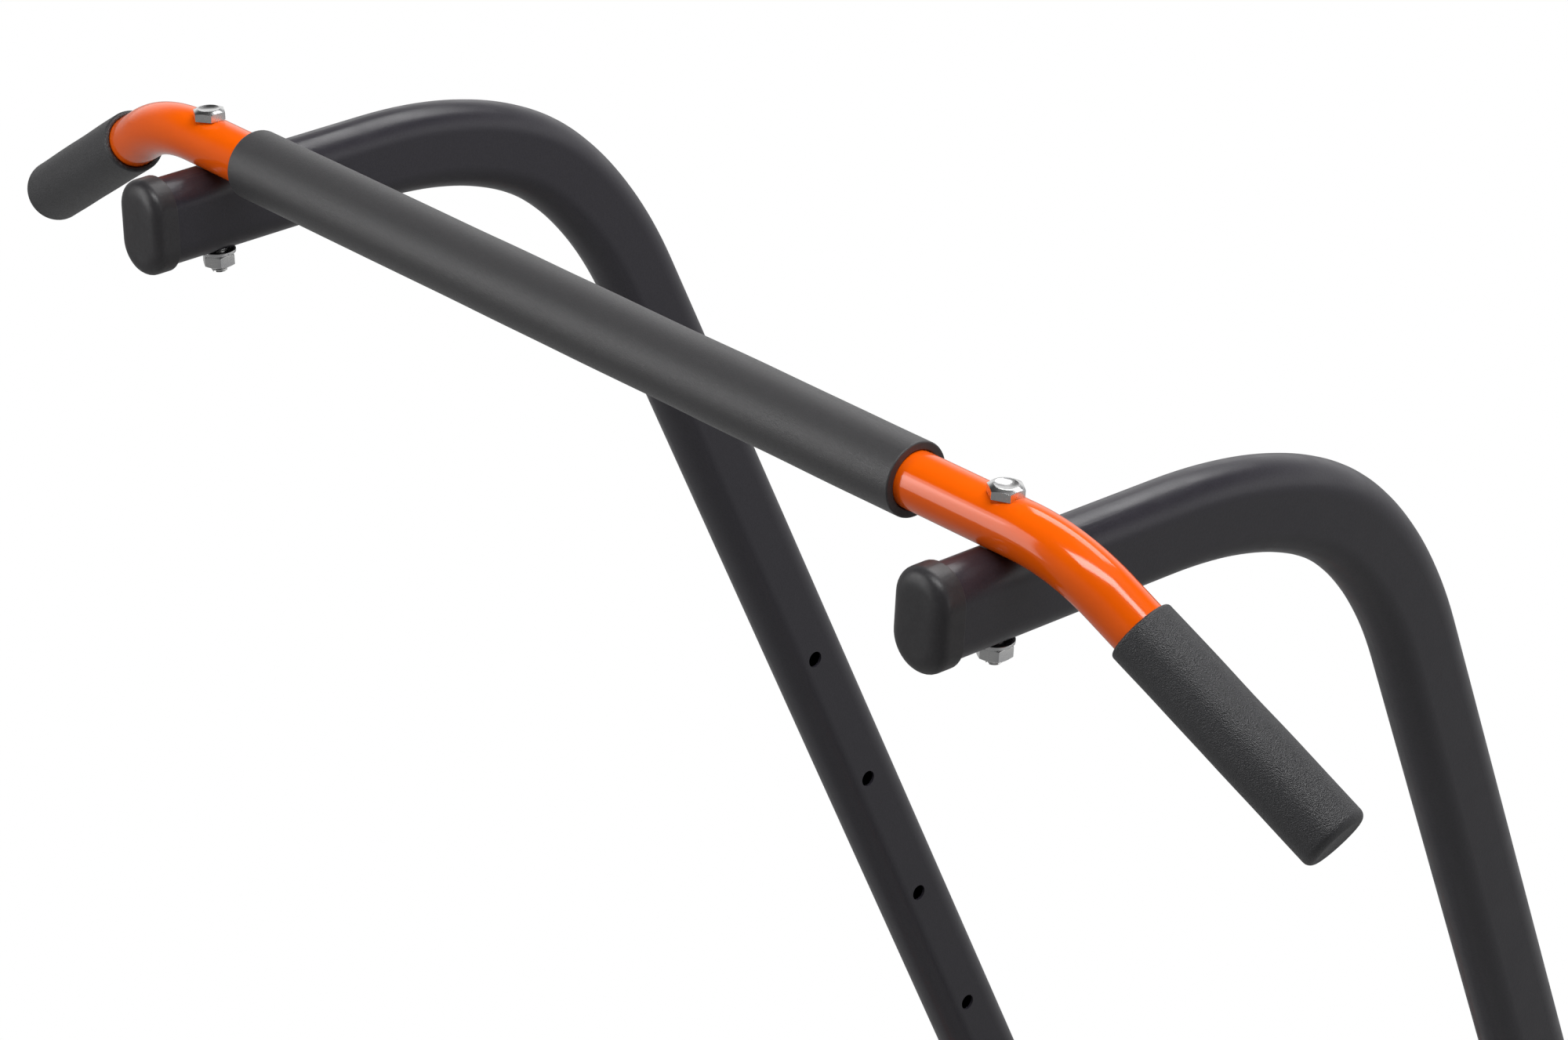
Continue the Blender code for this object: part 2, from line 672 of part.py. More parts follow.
def make_side_rail(name, side):
    """Floor rail from front to back under one upright."""
    x = side * FOOT_X
    length = 2 * (BASE_HALF - PLUG_FLANGE - GAP)
    rods = [upright_rod(x, y, RAIL_MID - RAIL_SIZE, RAIL_MID + RAIL_SIZE)
            for y in (FRONT_Y, BRACE_FOOT_BOLT_Y, FOOT_BOLT_Y, REAR_Y)]
    return make_square_tube(name, length, frame_on((x, 0, RAIL_MID), (0, 1, 0), (1, 0, 0)), rods)


def make_stabiliser(name, y):
    """Cross tube on the floor, under the ends of both rails."""
    length = BASE_WIDTH - 2 * (SHOE_WALL + GAP)
    rods = [upright_rod(side * FOOT_X, y, STABILISER_MID - RAIL_SIZE, STABILISER_MID + RAIL_SIZE)
            for side in SIDES.values()]
    return make_square_tube(name, length, frame_on((0, y, STABILISER_MID), (1, 0, 0), (0, 1, 0)), rods)


def make_shoe(name, side, y):
    """Rubber shoe over the end of a stabiliser, with a thick flat sole."""
    pocket = RAIL_SIZE + 2 * GAP
    top = STABILISER_MID + pocket / 2 + SHOE_WALL
    middle = top / 2
    outline = rounded_rectangle(pocket + 2 * SHOE_WALL, top, 0.009)
    centre = (side * (BASE_WIDTH / 2 - SHOE_LENGTH / 2), y, middle)
    matrix = frame_on(centre, (-side, 0, 0), (0, 1, 0))
    made = add_object(name, extruded(name, outline, SHOE_LENGTH), matrix, BLACK_RUBBER)
    ease = made.modifiers.new("edges", "BEVEL")
    ease.width = 0.0015
    ease.segments = 1
    ease.limit_method = "ANGLE"
    ease.angle_limit = math.radians(60)
    cutter_outline = rounded_rectangle(pocket, pocket, RAIL_CORNER + GAP)
    cutter = extruded(name + "_pocket", cutter_outline, SHOE_LENGTH)
    inner = (side * (BASE_WIDTH / 2 - SHOE_LENGTH / 2 - SHOE_WALL), y, STABILISER_MID)
    join(made, add_object(name + "_pocket", cutter, frame_on(inner, (-side, 0, 0), (0, 1, 0))), "DIFFERENCE")
    return made


def make_rail_plug(name, side, end):
    """Plastic plug in the end of a rail: a flange outside and a body inside the tube."""
    body = RAIL_SIZE - 2 * RAIL_WALL - 2 * GAP
    sections = [(body - 0.002, -PLUG_DEPTH), (body, -PLUG_DEPTH + 0.001), (body, 0.0), (RAIL_SIZE, 0.0),
                (RAIL_SIZE, PLUG_FLANGE - 0.001), (RAIL_SIZE - 0.002, PLUG_FLANGE)]
    rings = []
    for size, height in sections:
        corner = RAIL_CORNER - (RAIL_SIZE - size) / 2 + 0.001
        rings.append([Vector((x, y, height)) for x, y in rounded_rectangle(size, size, corner, 2)])
    bm = bmesh.new()
    bm.from_mesh(lofted(name, rings, close_end=True))
    bmesh.ops.holes_fill(bm, edges=bm.edges)
    bmesh.ops.recalc_face_normals(bm, faces=bm.faces)
    place = (side * FOOT_X, end * (BASE_HALF - PLUG_FLANGE), RAIL_MID)
    return add_object(name, mesh_from(name, bm), frame_on(place, (0, end, 0), (1, 0, 0)), BLACK_PLASTIC)


def make_brace(name, side):
    """Diagonal tube with a plate on the rail and a plate on the front face of the leg."""
    frame = side_frame(side)
    leg = frame @ leg_frame(BRACE_DISTANCE)
    upper = leg @ Vector((0, -TUBE_DEPTH / 2 - GAP - BRACE_PLATE[2] / 2, 0))
    lower = Vector((side * FOOT_X, BRACE_FOOT_Y, PLATE_BOTTOM + BRACE_PLATE[2] / 2))
    across = frame.to_3x3() @ Vector((1, 0, 0))
    length = (upper - lower).length + 0.08
    outline = rounded_rectangle(BRACE_WIDTH, BRACE_DEPTH, BRACE_CORNER)
    matrix = frame_on((upper + lower) / 2, upper - lower, across)
    made = add_object(name, extruded(name, outline, length, filled=False), matrix, BLACK_PAINT)
    hollow(made, BRACE_WALL)
    cut = box_mesh(name + "_cut", (0.2, 0.2, 0.2))
    floor_cut = Matrix.Translation(lower - Vector((0, 0, 0.1)))
    join(made, add_object(name + "_floor_cut", cut, floor_cut), "DIFFERENCE")
    leg_cut = leg @ Matrix.Translation((0, 0.1 - TUBE_DEPTH / 2 - GAP - BRACE_PLATE[2] / 2, 0))
    join(made, add_object(name + "_leg_cut", cut.copy(), leg_cut), "DIFFERENCE")
    plate = box_mesh(name + "_plate", BRACE_PLATE)
    foot = Matrix.Translation(lower)
    join(made, add_object(name + "_foot_plate", plate, foot), "UNION")
    on_leg = leg @ frame_on((0, -TUBE_DEPTH / 2 - GAP - BRACE_PLATE[2] / 2, 0), (0, 1, 0), (1, 0, 0))
    join(made, add_object(name + "_leg_plate", plate.copy(), on_leg), "UNION")
    radius = FRAME_BOLT_DIAMETER / 2 + HOLE_CLEARANCE
    spot = leg @ Vector((0, -TUBE_DEPTH, BRACE_BOLT_OFFSET))
    spot_in = leg @ Vector((0, 0, BRACE_BOLT_OFFSET))
    vent = matrix @ Vector((0, 0, -0.15))
    vent_out = matrix @ Vector((0, BRACE_DEPTH, -0.15))
    rods = [(spot, spot_in, radius),
            upright_rod(side * FOOT_X, BRACE_FOOT_BOLT_Y, RAIL_TOP - 0.01, RAIL_TOP + 0.02),
            (vent, vent_out, VENT_DIAMETER / 2)]
    drill(made, rods, Matrix())
    return made


def make_frame_bolts(label, side):
    """The bolts of one side: rail to stabilisers, upright to rail, brace to rail and to leg."""
    x = side * FOOT_X
    plate = GAP + FOOT_PLATE[2]
    low_seat = RAIL_MID - RAIL_SIZE / 2
    spots = [("front_rail_bolt", FRONT_Y, RAIL_BOTTOM, RAIL_TOP),
             ("brace_foot_bolt", BRACE_FOOT_BOLT_Y, low_seat, RAIL_TOP + GAP + BRACE_PLATE[2]),
             ("foot_bolt", FOOT_BOLT_Y, low_seat, RAIL_TOP + plate),
             ("rear_rail_bolt", REAR_Y, RAIL_BOTTOM, RAIL_TOP + plate)]
    for kind, y, low, high in spots:
        make_frame_bolt(kind + "_" + label, high - low, Matrix.Translation((x, y, low)))
    leg = side_frame(side) @ leg_frame(BRACE_DISTANCE)
    place = leg @ frame_on((0, TUBE_DEPTH / 2, BRACE_BOLT_OFFSET), (0, -1, 0), (1, 0, 0))
    make_frame_bolt("brace_leg_bolt_" + label, TUBE_DEPTH + GAP + BRACE_PLATE[2], place)


# Dip arms

def dip_frame(side):
    """Frame of a sleeve at rest on its lowest hole, Z up the leg."""
    return side_frame(side) @ leg_frame(LAST_HOLE)


def arm_frame(side):
    """Frame of a dip arm: origin on the leg's axis, Z level and forward, X up."""
    slope = BEND_ANGLE
    return dip_frame(side) @ frame_on((0, 0, -SOCKET_DROP), (0, -math.sin(slope), math.cos(slope)),
                                      (0, math.cos(slope), math.sin(slope)))


def make_sleeve(name, side):
    """Welded sleeve: rounded tube round the leg, a socket for the dip arm and a gusset under it."""
    frame = dip_frame(side)
    arm = arm_frame(side)
    outer = rounded_rectangle(TUBE_WIDTH + 2 * SLEEVE_OUTER, TUBE_DEPTH + 2 * SLEEVE_OUTER,
                              TUBE_CORNER + SLEEVE_OUTER)
    made = add_object(name, extruded(name, outer, SLEEVE_LENGTH), frame, BLACK_PAINT)
    socket = rods_mesh(name + "_socket", [((0, 0, 0), (0, 0, SOCKET_REACH), SOCKET_DIAMETER / 2)], 20)
    join(made, add_object(name + "_socket", socket, arm), "UNION")
    face = -(TUBE_DEPTH / 2 + SLEEVE_OUTER) + 0.001
    low = -SLEEVE_LENGTH / 2 + 0.006
    reach = GUSSET_REACH
    slope = BEND_ANGLE
    tip = (-reach * math.sin(slope), reach * math.cos(slope) - SOCKET_DROP - 0.004)
    outline = [(face, low), (face, 0.0), tip, (tip[0] + 0.002, tip[1] - 0.018)]
    gusset = extruded(name + "_gusset", outline, GUSSET_THICKNESS)
    upright_plane = frame @ frame_on((0, 0, 0), (1, 0, 0), (0, 1, 0))
    join(made, add_object(name + "_gusset", gusset, upright_plane), "UNION")
    inner = rounded_rectangle(TUBE_WIDTH + 2 * FIT, TUBE_DEPTH + 2 * FIT, TUBE_CORNER + FIT)
    bore = extruded(name + "_bore", inner, SLEEVE_LENGTH + 0.06)
    join(made, add_object(name + "_bore", bore, frame), "DIFFERENCE")
    start = SOCKET_REACH - SOCKET_DEPTH
    arm_radius = BAR_DIAMETER / 2 + GAP
    drill(made, [((0, 0, start), (0, 0, SOCKET_REACH + 0.01), arm_radius)], arm, 20)
    drill(made, [((-0.03, 0, DIP_BOLT_REACH), (0.03, 0, DIP_BOLT_REACH),
                  FRAME_BOLT_DIAMETER / 2 + HOLE_CLEARANCE)], arm)
    drill(made, [((0, 0, 0), (0, 0, 0.012), NECK_DIAMETER / 2 + HOLE_CLEARANCE)], pin_frame(side))
    return made


def make_liner(name, side, end):
    """Plastic liner in one end of a sleeve, with a flange over the sleeve's edge."""
    inside, body, flange = GAP, GAP + LINER_WALL, SLEEVE_OUTER
    edge = SLEEVE_LENGTH / 2 + GAP
    levels = [(inside, edge - LINER_LENGTH), (inside, edge + LINER_FLANGE), (flange - 0.0008, edge + LINER_FLANGE),
              (flange, edge + LINER_FLANGE - 0.0008), (flange, edge), (body, edge), (body, edge - LINER_LENGTH)]
    rings = []
    for grow, height in levels + levels[:1]:
        outline = rounded_rectangle(TUBE_WIDTH + 2 * grow, TUBE_DEPTH + 2 * grow, TUBE_CORNER + grow)
        rings.append([Vector((x, y, height)) for x, y in outline])
    bm = bmesh.new()
    bm.from_mesh(lofted(name, rings))
    bmesh.ops.remove_doubles(bm, verts=bm.verts, dist=1e-5)
    bmesh.ops.recalc_face_normals(bm, faces=bm.faces)
    flip = Matrix() if end > 0 else Matrix.Rotation(math.pi, 4, "X")
    return add_object(name, mesh_from(name, bm), dip_frame(side) @ flip, BLACK_PLASTIC)


def make_dip_arm(name, side):
    """Level round tube from inside the socket to inside the grip."""
    start = SOCKET_REACH - SOCKET_DEPTH + GAP
    end = start + DIP_ARM_LENGTH
    points = [Vector((0, 0, start)), Vector((0, 0, end))]
    made = add_object(name, round_tube(name, points, BAR_DIAMETER, 5), arm_frame(side), ORANGE_PAINT)
    hollow(made, BAR_WALL)
    drill(made, [((-0.03, 0, DIP_BOLT_REACH), (0.03, 0, DIP_BOLT_REACH),
                  FRAME_BOLT_DIAMETER / 2 + HOLE_CLEARANCE)])
    return made


def make_dip_grip(name, side):
    """Foam grip with a closed round end, on the front of a dip arm."""
    end = SOCKET_REACH - SOCKET_DEPTH + GAP + DIP_ARM_LENGTH
    start = end + GRIP_END_WALL + GAP - DIP_GRIP_LENGTH
    place = arm_frame(side) @ Matrix.Translation((0, 0, start))
    return turned(name, grip_profile(DIP_GRIP_LENGTH, END_GRIP_DIAMETER), GREY_FOAM, place)


def make_dip_bolt(name, side):
    """Upright bolt through the socket and the arm, head on top."""
    seat = SOCKET_DIAMETER / 2
    place = arm_frame(side) @ frame_on((seat, 0, DIP_BOLT_REACH), (-1, 0, 0), (0, 0, 1))
    return make_frame_bolt(name, SOCKET_DIAMETER, place, BRIGHT_STEEL)


# Pull pins

def pin_frame(side):
    """Frame of a pull pin: origin on the inner face of the leg, Z towards the user."""
    place = dip_frame(side)
    inner = -side * TUBE_WIDTH / 2
    return place @ frame_on((inner, HOLE_SHIFT, 0), (-side, 0, 0), (0, 0, 1))


def make_pin_housing(name, side):
    """Turned housing screwed into the sleeve, with a spring chamber inside."""
    neck, flange, body = NECK_DIAMETER / 2, FLANGE_DIAMETER / 2, HOUSING_DIAMETER / 2
    bore, chamber = PIN_DIAMETER / 2 + GAP, CHAMBER_DIAMETER / 2
    mouth = STEM_DIAMETER / 2 + GAP
    seat = SLEEVE_OUTER + GAP
    start = FIT + GAP
    profile = [(mouth, HOUSING_TOP), (body - 0.001, HOUSING_TOP), (body, HOUSING_TOP - 0.001),
               (body, seat + FLANGE_THICKNESS), (flange, seat + FLANGE_THICKNESS), (flange, seat),
               (neck, seat), (neck, start), (bore, start), (bore, CHAMBER_FLOOR), (chamber, CHAMBER_FLOOR),
               (chamber, CHAMBER_TOP), (mouth, CHAMBER_TOP)]
    return turned(name, profile, BRIGHT_STEEL, pin_frame(side), 12, closed=True)


def make_pin(name, side):
    """Steel pin with a chamfered tip, a collar that the spring pushes on, and a stem for the knob."""
    pin, collar, stem = PIN_DIAMETER / 2, COLLAR_DIAMETER / 2, STEM_DIAMETER / 2
    floor = CHAMBER_FLOOR + GAP
    top = HOUSING_TOP + 0.016
    profile = [(0.0, top), (stem, top), (stem, floor + COLLAR_THICKNESS), (collar, floor + COLLAR_THICKNESS),
               (collar, floor), (pin, floor), (pin, PIN_TIP + 0.002), (pin - 0.0015, PIN_TIP), (0.0, PIN_TIP)]
    return turned(name, profile, BRIGHT_STEEL, pin_frame(side), 12)


def make_knob(name, side):
    """Mushroom knob on the stem."""
    low = HOUSING_TOP + 0.001
    radius = KNOB_DIAMETER / 2
    bore = STEM_DIAMETER / 2 + GAP
    top = low + KNOB_HEIGHT
    profile = [(0.0, top), (0.45 * radius, top - 0.0004), (0.8 * radius, top - 0.0022), (radius, top - 0.0065),
               (radius, top - 0.0095), (0.82 * radius, top - 0.013), (0.6 * radius, top - 0.017),
               (0.62 * radius, low), (bore, low), (bore, HOUSING_TOP + 0.016 + GAP),
               (0.0, HOUSING_TOP + 0.016 + GAP)]
    return turned(name, profile, BLACK_PLASTIC, pin_frame(side), 14)


def make_spring(name, side):
    """Compression spring between collar and housing, drawn at the length it has when pulled."""
    count = 8
    pitch = SPRING_WIRE + SPRING_GAP
    low = CHAMBER_TOP - GAP - SPRING_TURNS * pitch - SPRING_WIRE / 2
    radius = SPRING_DIAMETER / 2
    points = []
    for i in range(SPRING_TURNS * count + 1):
        angle = 2 * math.pi * i / count
        points.append(Vector((radius * math.cos(angle), radius * math.sin(angle), low + pitch * i / count)))
    gaps = [(points[i + count] - points[i]).length for i in range(len(points) - count)]
    print(name, "least gap between turns:", round(1000 * (min(gaps) - SPRING_WIRE), 2), "mm")
    curve = bpy.data.curves.new(name, "CURVE")
    curve.dimensions = "3D"
    curve.bevel_depth = SPRING_WIRE / 2
    curve.bevel_resolution = 1
    curve.use_fill_caps = True
    spline = curve.splines.new("POLY")
    spline.points.add(len(points) - 1)
    for point, place in zip(spline.points, points):
        point.co = (*place, 1.0)
    holder = bpy.data.objects.new(name, curve)
    bpy.context.scene.collection.objects.link(holder)
    return add_object(name, mesh_of_curve(holder), pin_frame(side), BRIGHT_STEEL)


def hang_on(empty_name, matrix, pieces, parent=None):
    """Parent moving pieces to an empty on their slide, keeping them where they are."""
    empty = bpy.data.objects.new(empty_name, None)
    PARTS.objects.link(empty)
    empty.empty_display_size = 0.05
    empty.matrix_world = matrix
    bpy.context.view_layer.update()
    if parent is not None:
        empty.parent = parent
        empty.matrix_parent_inverse = parent.matrix_world.inverted()
    for piece in pieces:
        piece.parent = empty
        piece.matrix_parent_inverse = matrix.inverted()
    return empty


def make_dip_side(label, side):
    """One sliding dip arm with its sprung pull pin."""
    carried = [make_sleeve("dip_sleeve_" + label, side),
               make_liner("upper_liner_" + label, side, 1),
               make_liner("lower_liner_" + label, side, -1),
               make_dip_arm("dip_arm_" + label, side),
               make_dip_grip("dip_grip_" + label, side),
               make_dip_bolt("dip_bolt_" + label, side),
               make_pin_housing("pin_housing_" + label, side),
               make_spring("pin_spring_" + label, side)]
    slide = hang_on("dip_slide_" + label, dip_frame(side), carried)
    pulled = [make_pin("pull_pin_" + label, side), make_knob("pin_knob_" + label, side)]
    hang_on("pin_slide_" + label, pin_frame(side), pulled, slide)


def make_station():
    """Every piece of the station."""
    make_bar("pull_up_bar")
    make_centre_grip("centre_foam_grip")
    make_stabiliser("front_stabiliser", FRONT_Y)
    make_stabiliser("rear_stabiliser", REAR_Y)
    for label, side in SIDES.items():
        make_upright("upright_" + label, side)
        make_upright_cap("upright_cap_" + label, side)
        make_end_grip("end_grip_" + label, side)
        make_bar_bolt("bar_bolt_" + label, side)
        make_bar_washer("bar_washer_" + label, side)
        make_bar_nut("bar_nut_" + label, side)
        make_side_rail("side_rail_" + label, side)
        make_brace("brace_" + label, side)
        make_shoe("front_shoe_" + label, side, FRONT_Y)
        make_shoe("rear_shoe_" + label, side, REAR_Y)
        make_rail_plug("front_rail_plug_" + label, side, -1)
        make_rail_plug("rear_rail_plug_" + label, side, 1)
        make_frame_bolts(label, side)
        make_dip_side(label, side)


make_station()
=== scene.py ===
"""Studio scene of the pull-up and dip station: fine surfaces, finishes, light and camera.

Metres, +Z up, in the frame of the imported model. "Right" is +X, and the user's side is -Y.
"""

import math

import bmesh
import bpy
from mathutils import Matrix, Vector, noise


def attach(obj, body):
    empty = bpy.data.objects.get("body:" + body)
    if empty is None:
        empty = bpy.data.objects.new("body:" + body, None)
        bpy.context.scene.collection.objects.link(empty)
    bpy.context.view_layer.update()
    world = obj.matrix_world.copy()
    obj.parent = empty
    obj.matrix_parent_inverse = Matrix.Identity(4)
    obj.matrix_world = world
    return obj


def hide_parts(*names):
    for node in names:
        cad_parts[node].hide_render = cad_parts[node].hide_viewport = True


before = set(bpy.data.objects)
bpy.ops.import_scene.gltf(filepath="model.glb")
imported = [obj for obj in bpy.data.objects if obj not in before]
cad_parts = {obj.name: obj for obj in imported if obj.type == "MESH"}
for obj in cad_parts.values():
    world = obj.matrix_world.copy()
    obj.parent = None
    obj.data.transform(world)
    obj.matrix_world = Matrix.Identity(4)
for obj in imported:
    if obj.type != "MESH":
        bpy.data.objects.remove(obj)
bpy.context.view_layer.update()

# Sizes of the model, as its solids have them
GAP = 0.0003
HOLE_CLEARANCE = 0.0005
FRAME_HOLE_ROOM = 0.0006
BAR_HEIGHT = 2.12
BAR_DIAMETER = 0.032
BAR_WALL = 0.002
BAR_BEND_START = 0.014
BAR_BEND_RADIUS = 0.109
BAR_BEND_ANGLE = math.radians(33.1)
BAR_BEND_ROLL = math.radians(14.5)
BAR_END_LENGTH = 0.159
BAR_SINK = 0.003
SADDLE_ROOM = 0.0005
FOAM_DIAMETER = 0.0425
FOAM_LENGTH = 0.569
FOAM_SHIFT = -0.0098
END_GRIP_DIAMETER = 0.0388
END_GRIP_START = 0.021
END_GRIP_LENGTH = 0.145
GRIP_END_WALL = 0.006
UPRIGHT_SPACING = 0.6785
TUBE_DEPTH = 0.054
TUBE_WIDTH = 0.034
TUBE_WALL = 0.002
ARM_FRONT = 0.0522
ARM_BACK = 0.118
BEND_RADIUS = 0.238
BEND_EASE = 0.476
BEND_ANGLE = math.radians(65.9)
BEND_SWELL = 0.001
LEGS_CLOSE_IN = 0.0458
LEGS_SPREAD_BACK = 0.0168
CAP_LENGTH = 0.017
CAP_WALL = 0.0024
CAP_ROUNDING = 0.0055
HOLE_DIAMETER = 0.0115
FIRST_HOLE = 0.345
HOLE_PITCH = 0.1207
HOLE_COUNT = 7
HOLE_SHIFT = -0.0037
BAR_BOLT_DIAMETER = 0.010
BAR_BOLT_FLATS = 0.018
BAR_BOLT_HEAD = 0.0065
BAR_NUT_HEIGHT = 0.0085
BAR_BOLT_TIP = 0.003
WASHER_DIAMETER = 0.0215
WASHER_THICKNESS = 0.002
FRAME_BOLT_DIAMETER = 0.008
FRAME_BOLT_HEAD_DIAMETER = 0.018
FRAME_BOLT_HEAD = 0.004
FRAME_NUT_FLATS = 0.013
FRAME_NUT_HEIGHT = 0.0065
FRAME_BOLT_TIP = 0.0025
RAIL_SIZE = 0.050
RAIL_CORNER = 0.006
RAIL_WALL = 0.002
SHOE_WALL = 0.004
SHOE_SOLE = 0.008
SHOE_LENGTH = 0.070
BASE_WIDTH = 1.000
FRONT_REACH = 0.200
STABILISER_INSET = 0.050
REAR_BOLT_RUN = 0.068
PLUG_FLANGE = 0.004
PLUG_DEPTH = 0.018
FOOT_PLATE = (0.060, 0.170, 0.006)
FOOT_BOLT_RUN = -0.062
BRACE_WIDTH = 0.025
BRACE_DEPTH = 0.040
BRACE_CORNER = 0.006
BRACE_WALL = 0.0018
BRACE_RISE = 0.52
BRACE_RUN = 0.60
BRACE_PLATE = (0.034, 0.110, 0.006)
BRACE_BOLT_OFFSET = 0.041
VENT_DIAMETER = 0.006
LINER_WALL = 0.002
SLEEVE_WALL = 0.003
SLEEVE_LENGTH = 0.150
LINER_LENGTH = 0.032
LINER_FLANGE = 0.003
SOCKET_DIAMETER = 0.040
SOCKET_REACH = 0.135
SOCKET_DEPTH = 0.090
SOCKET_DROP = 0.010
DIP_ARM_LENGTH = 0.440
DIP_GRIP_LENGTH = 0.200
DIP_BOLT_REACH = 0.114
GUSSET_REACH = 0.098
GUSSET_THICKNESS = 0.005
PIN_DIAMETER = 0.010
PIN_TIP = -0.008
COLLAR_DIAMETER = 0.014
COLLAR_THICKNESS = 0.003
STEM_DIAMETER = 0.008
NECK_DIAMETER = 0.016
FLANGE_DIAMETER = 0.026
FLANGE_THICKNESS = 0.004
HOUSING_DIAMETER = 0.021
CHAMBER_DIAMETER = 0.0155
CHAMBER_FLOOR = 0.013
CHAMBER_TOP = 0.037
HOUSING_TOP = 0.040
KNOB_DIAMETER = 0.030
KNOB_HEIGHT = 0.024
SPRING_WIRE = 0.0012
SPRING_DIAMETER = 0.0118
SPRING_TURNS = 3
SPRING_GAP = 0.0005

# Shapes that follow the photograph more closely than the solids: tube corners, cap crown and bolt heads
TUBE_CORNER = 0.0165
CAP_CROWN_DEPTH = 0.0075
CAP_CROWN_REACH = 0.0115
CAP_CROWN_POWER = 2.4
HEAD_SINK = 0.0010
HEAD_DISH = 0.0008

# Rounded edges; the cap's rim as (height, inset)
WELDED_EDGE = 0.0004
RAIL_EDGE = 0.0003
CAP_EDGE = 0.0008
CAP_INNER_EDGE = 0.002
CAP_RIM = ((0.0, 0.0007), (0.0003, 0.0002), (0.0009, 0.0))
FOAM_EDGE = 0.0011
HEXAGON_EDGE = 0.0003
WASHER_EDGE = 0.0004
SHOE_EDGE = 0.0025
SHOE_CORNER = 0.009
FOOT_PLATE_CORNER = 0.004
BRACE_PLATE_CORNER = 0.005
LINER_ROUNDING = 0.0012
LINER_EDGE = 0.0003
HOUSING_EDGE = 0.0007
PIN_EDGE = 0.0004
KNOB_EDGE = 0.002

# Foam grips with a closed end: rounding, dish with one point of it in shares of radius and depth, open rim
GRIP_ROUNDING = 0.0045
GRIP_DISH = 0.0006
GRIP_DISH_POINT = (0.55, 0.8)
GRIP_RIM = 0.0018
GRIP_BORE_EDGE = 0.0004

# Seeds of the foam's unevenness
CENTRE_GRIP_SEED = 3.0
END_GRIP_SEED = 7.0
DIP_GRIP_SEED = 11.0

# Threads: pitches, and depths in pitches or as shares of the full depth
BAR_BOLT_PITCH = 0.0015
FRAME_BOLT_PITCH = 0.00125
THREAD_DEPTH = 0.55
THREAD_FORM = 0.9
THREAD_END = 0.4

# Hexagons: points of the far face as (reach in flats, share of the dish, share of the chamfer), how far the
# corners drop and the foot rises in chamfers, the flat of the foot in flats, and rooms in metres
HEXAGON_FACE = ((0.0, 1.0, 0.0), (0.24, 0.9, 0.0), (0.36, 0.0, 0.0), (0.41, 0.0, 0.2))
HEXAGON_CORNER_DROP = 1.8
HEXAGON_FOOT_RISE = 1.3
HEXAGON_FOOT_REACH = 0.44
CHAMFER_ROOM = 0.0003
BLANK_ROOM = 0.0002

# How far shapes reach into or past each other, so that they join or cut cleanly, in metres; the drills of the
# adjustment holes run from outside to inside, in halves of the tube's width
SHANK_OVERLAP = 0.003
BAR_THREAD_OVERLAP = 0.002
FRAME_THREAD_OVERLAP = 0.001
KEY_OVERLAP = 0.001
DRILL_BELOW = 0.01
DRILL_ABOVE = 0.02
HOLE_DRILL = (1.3, 0.3)
DIP_BOLT_DRILL = 0.03
NECK_DRILL = 0.012
BORE_OVERRUN = 0.06
SOCKET_OVERRUN = 0.01
FOOT_TRIM = 0.2
BRACE_TRIM = 0.1
BRACE_OVERRUN = 0.04
GUSSET_OVERLAP = 0.001

# Small shapes of bolts, braces, shoes, plugs, gussets, pins and knobs; the knob's head as (share of its
# radius, depth under its top)
KEY_FLATS = 0.005
KEY_HEIGHT = 0.0032
VENT_PLACE = -0.15
GROOVE_SIZE = (0.003, 0.08, 0.003)
GROOVE_COUNT = 4
GROOVE_START = 0.014
GROOVE_PITCH = 0.013
PLUG_LEAD_WIDTH = 0.002
PLUG_LEAD_LENGTH = 0.001
PLUG_EDGE_WIDTH = 0.0006
PLUG_EDGE_HEIGHT = 0.0004
PLUG_CROWN_START = 0.0015
PLUG_CROWN_REACH = 0.005
PLUG_LEAST_CORNER = 0.002
GUSSET_RISE = 0.006
GUSSET_DROP = 0.004
GUSSET_TIP = (0.002, 0.018)
STEM_OUT = 0.016
PIN_CHAMFER = (0.0015, 0.002)
KNOB_GAP = 0.001
KNOB_HEAD = ((0.0, 0.0), (0.45, 0.0004), (0.8, 0.0022), (1.0, 0.0065), (1.0, 0.0095), (0.82, 0.013),
             (0.6, 0.017))
KNOB_FOOT = 0.62

# Fineness of the surfaces
ROUND_STEPS = 72
FINE_ROUND_STEPS = 96
CORNER_STEPS = 10
BEND_STEPS = 48
BEND_SUBSTEPS = 2
BAR_BEND_STEPS = 28
BAR_END_PIECES = 6
DIP_ARM_PIECES = 12
HOLE_SIDES = 40
GRIP_RINGS = 120
CLOSED_GRIP_RINGS = 40
CAP_RINGS = 20
THREAD_SIDES = 48
THREAD_ROWS = 8
SPRING_STEPS = 32
WIRE_SIDES = 16

# Limits: a length that counts as none, a turn that counts as straight, a cosine that counts as parallel, and
# the share of a run that a rounded corner may take
NO_LENGTH = 1e-7
NO_TURN = 0.15
NEARLY_PARALLEL = 0.9
RUN_SHARE = 0.45

# The range that most of a noise texture's values lie in
NOISE_LOW = 0.3
NOISE_HIGH = 0.7

# Camera: where the photograph was taken from, in the frame of the bar's middle
CAMERA_OFFSET = (1.94669, -1.61545, 1.10543)
CAMERA_HEADING = math.radians(47.658)
CAMERA_PITCH = math.radians(-25.923)
CAMERA_ROLL = math.radians(0.8836)
CAMERA_LENS = 114.59
CAMERA_SENSOR = 36.0
CAMERA_REACH = 200.0

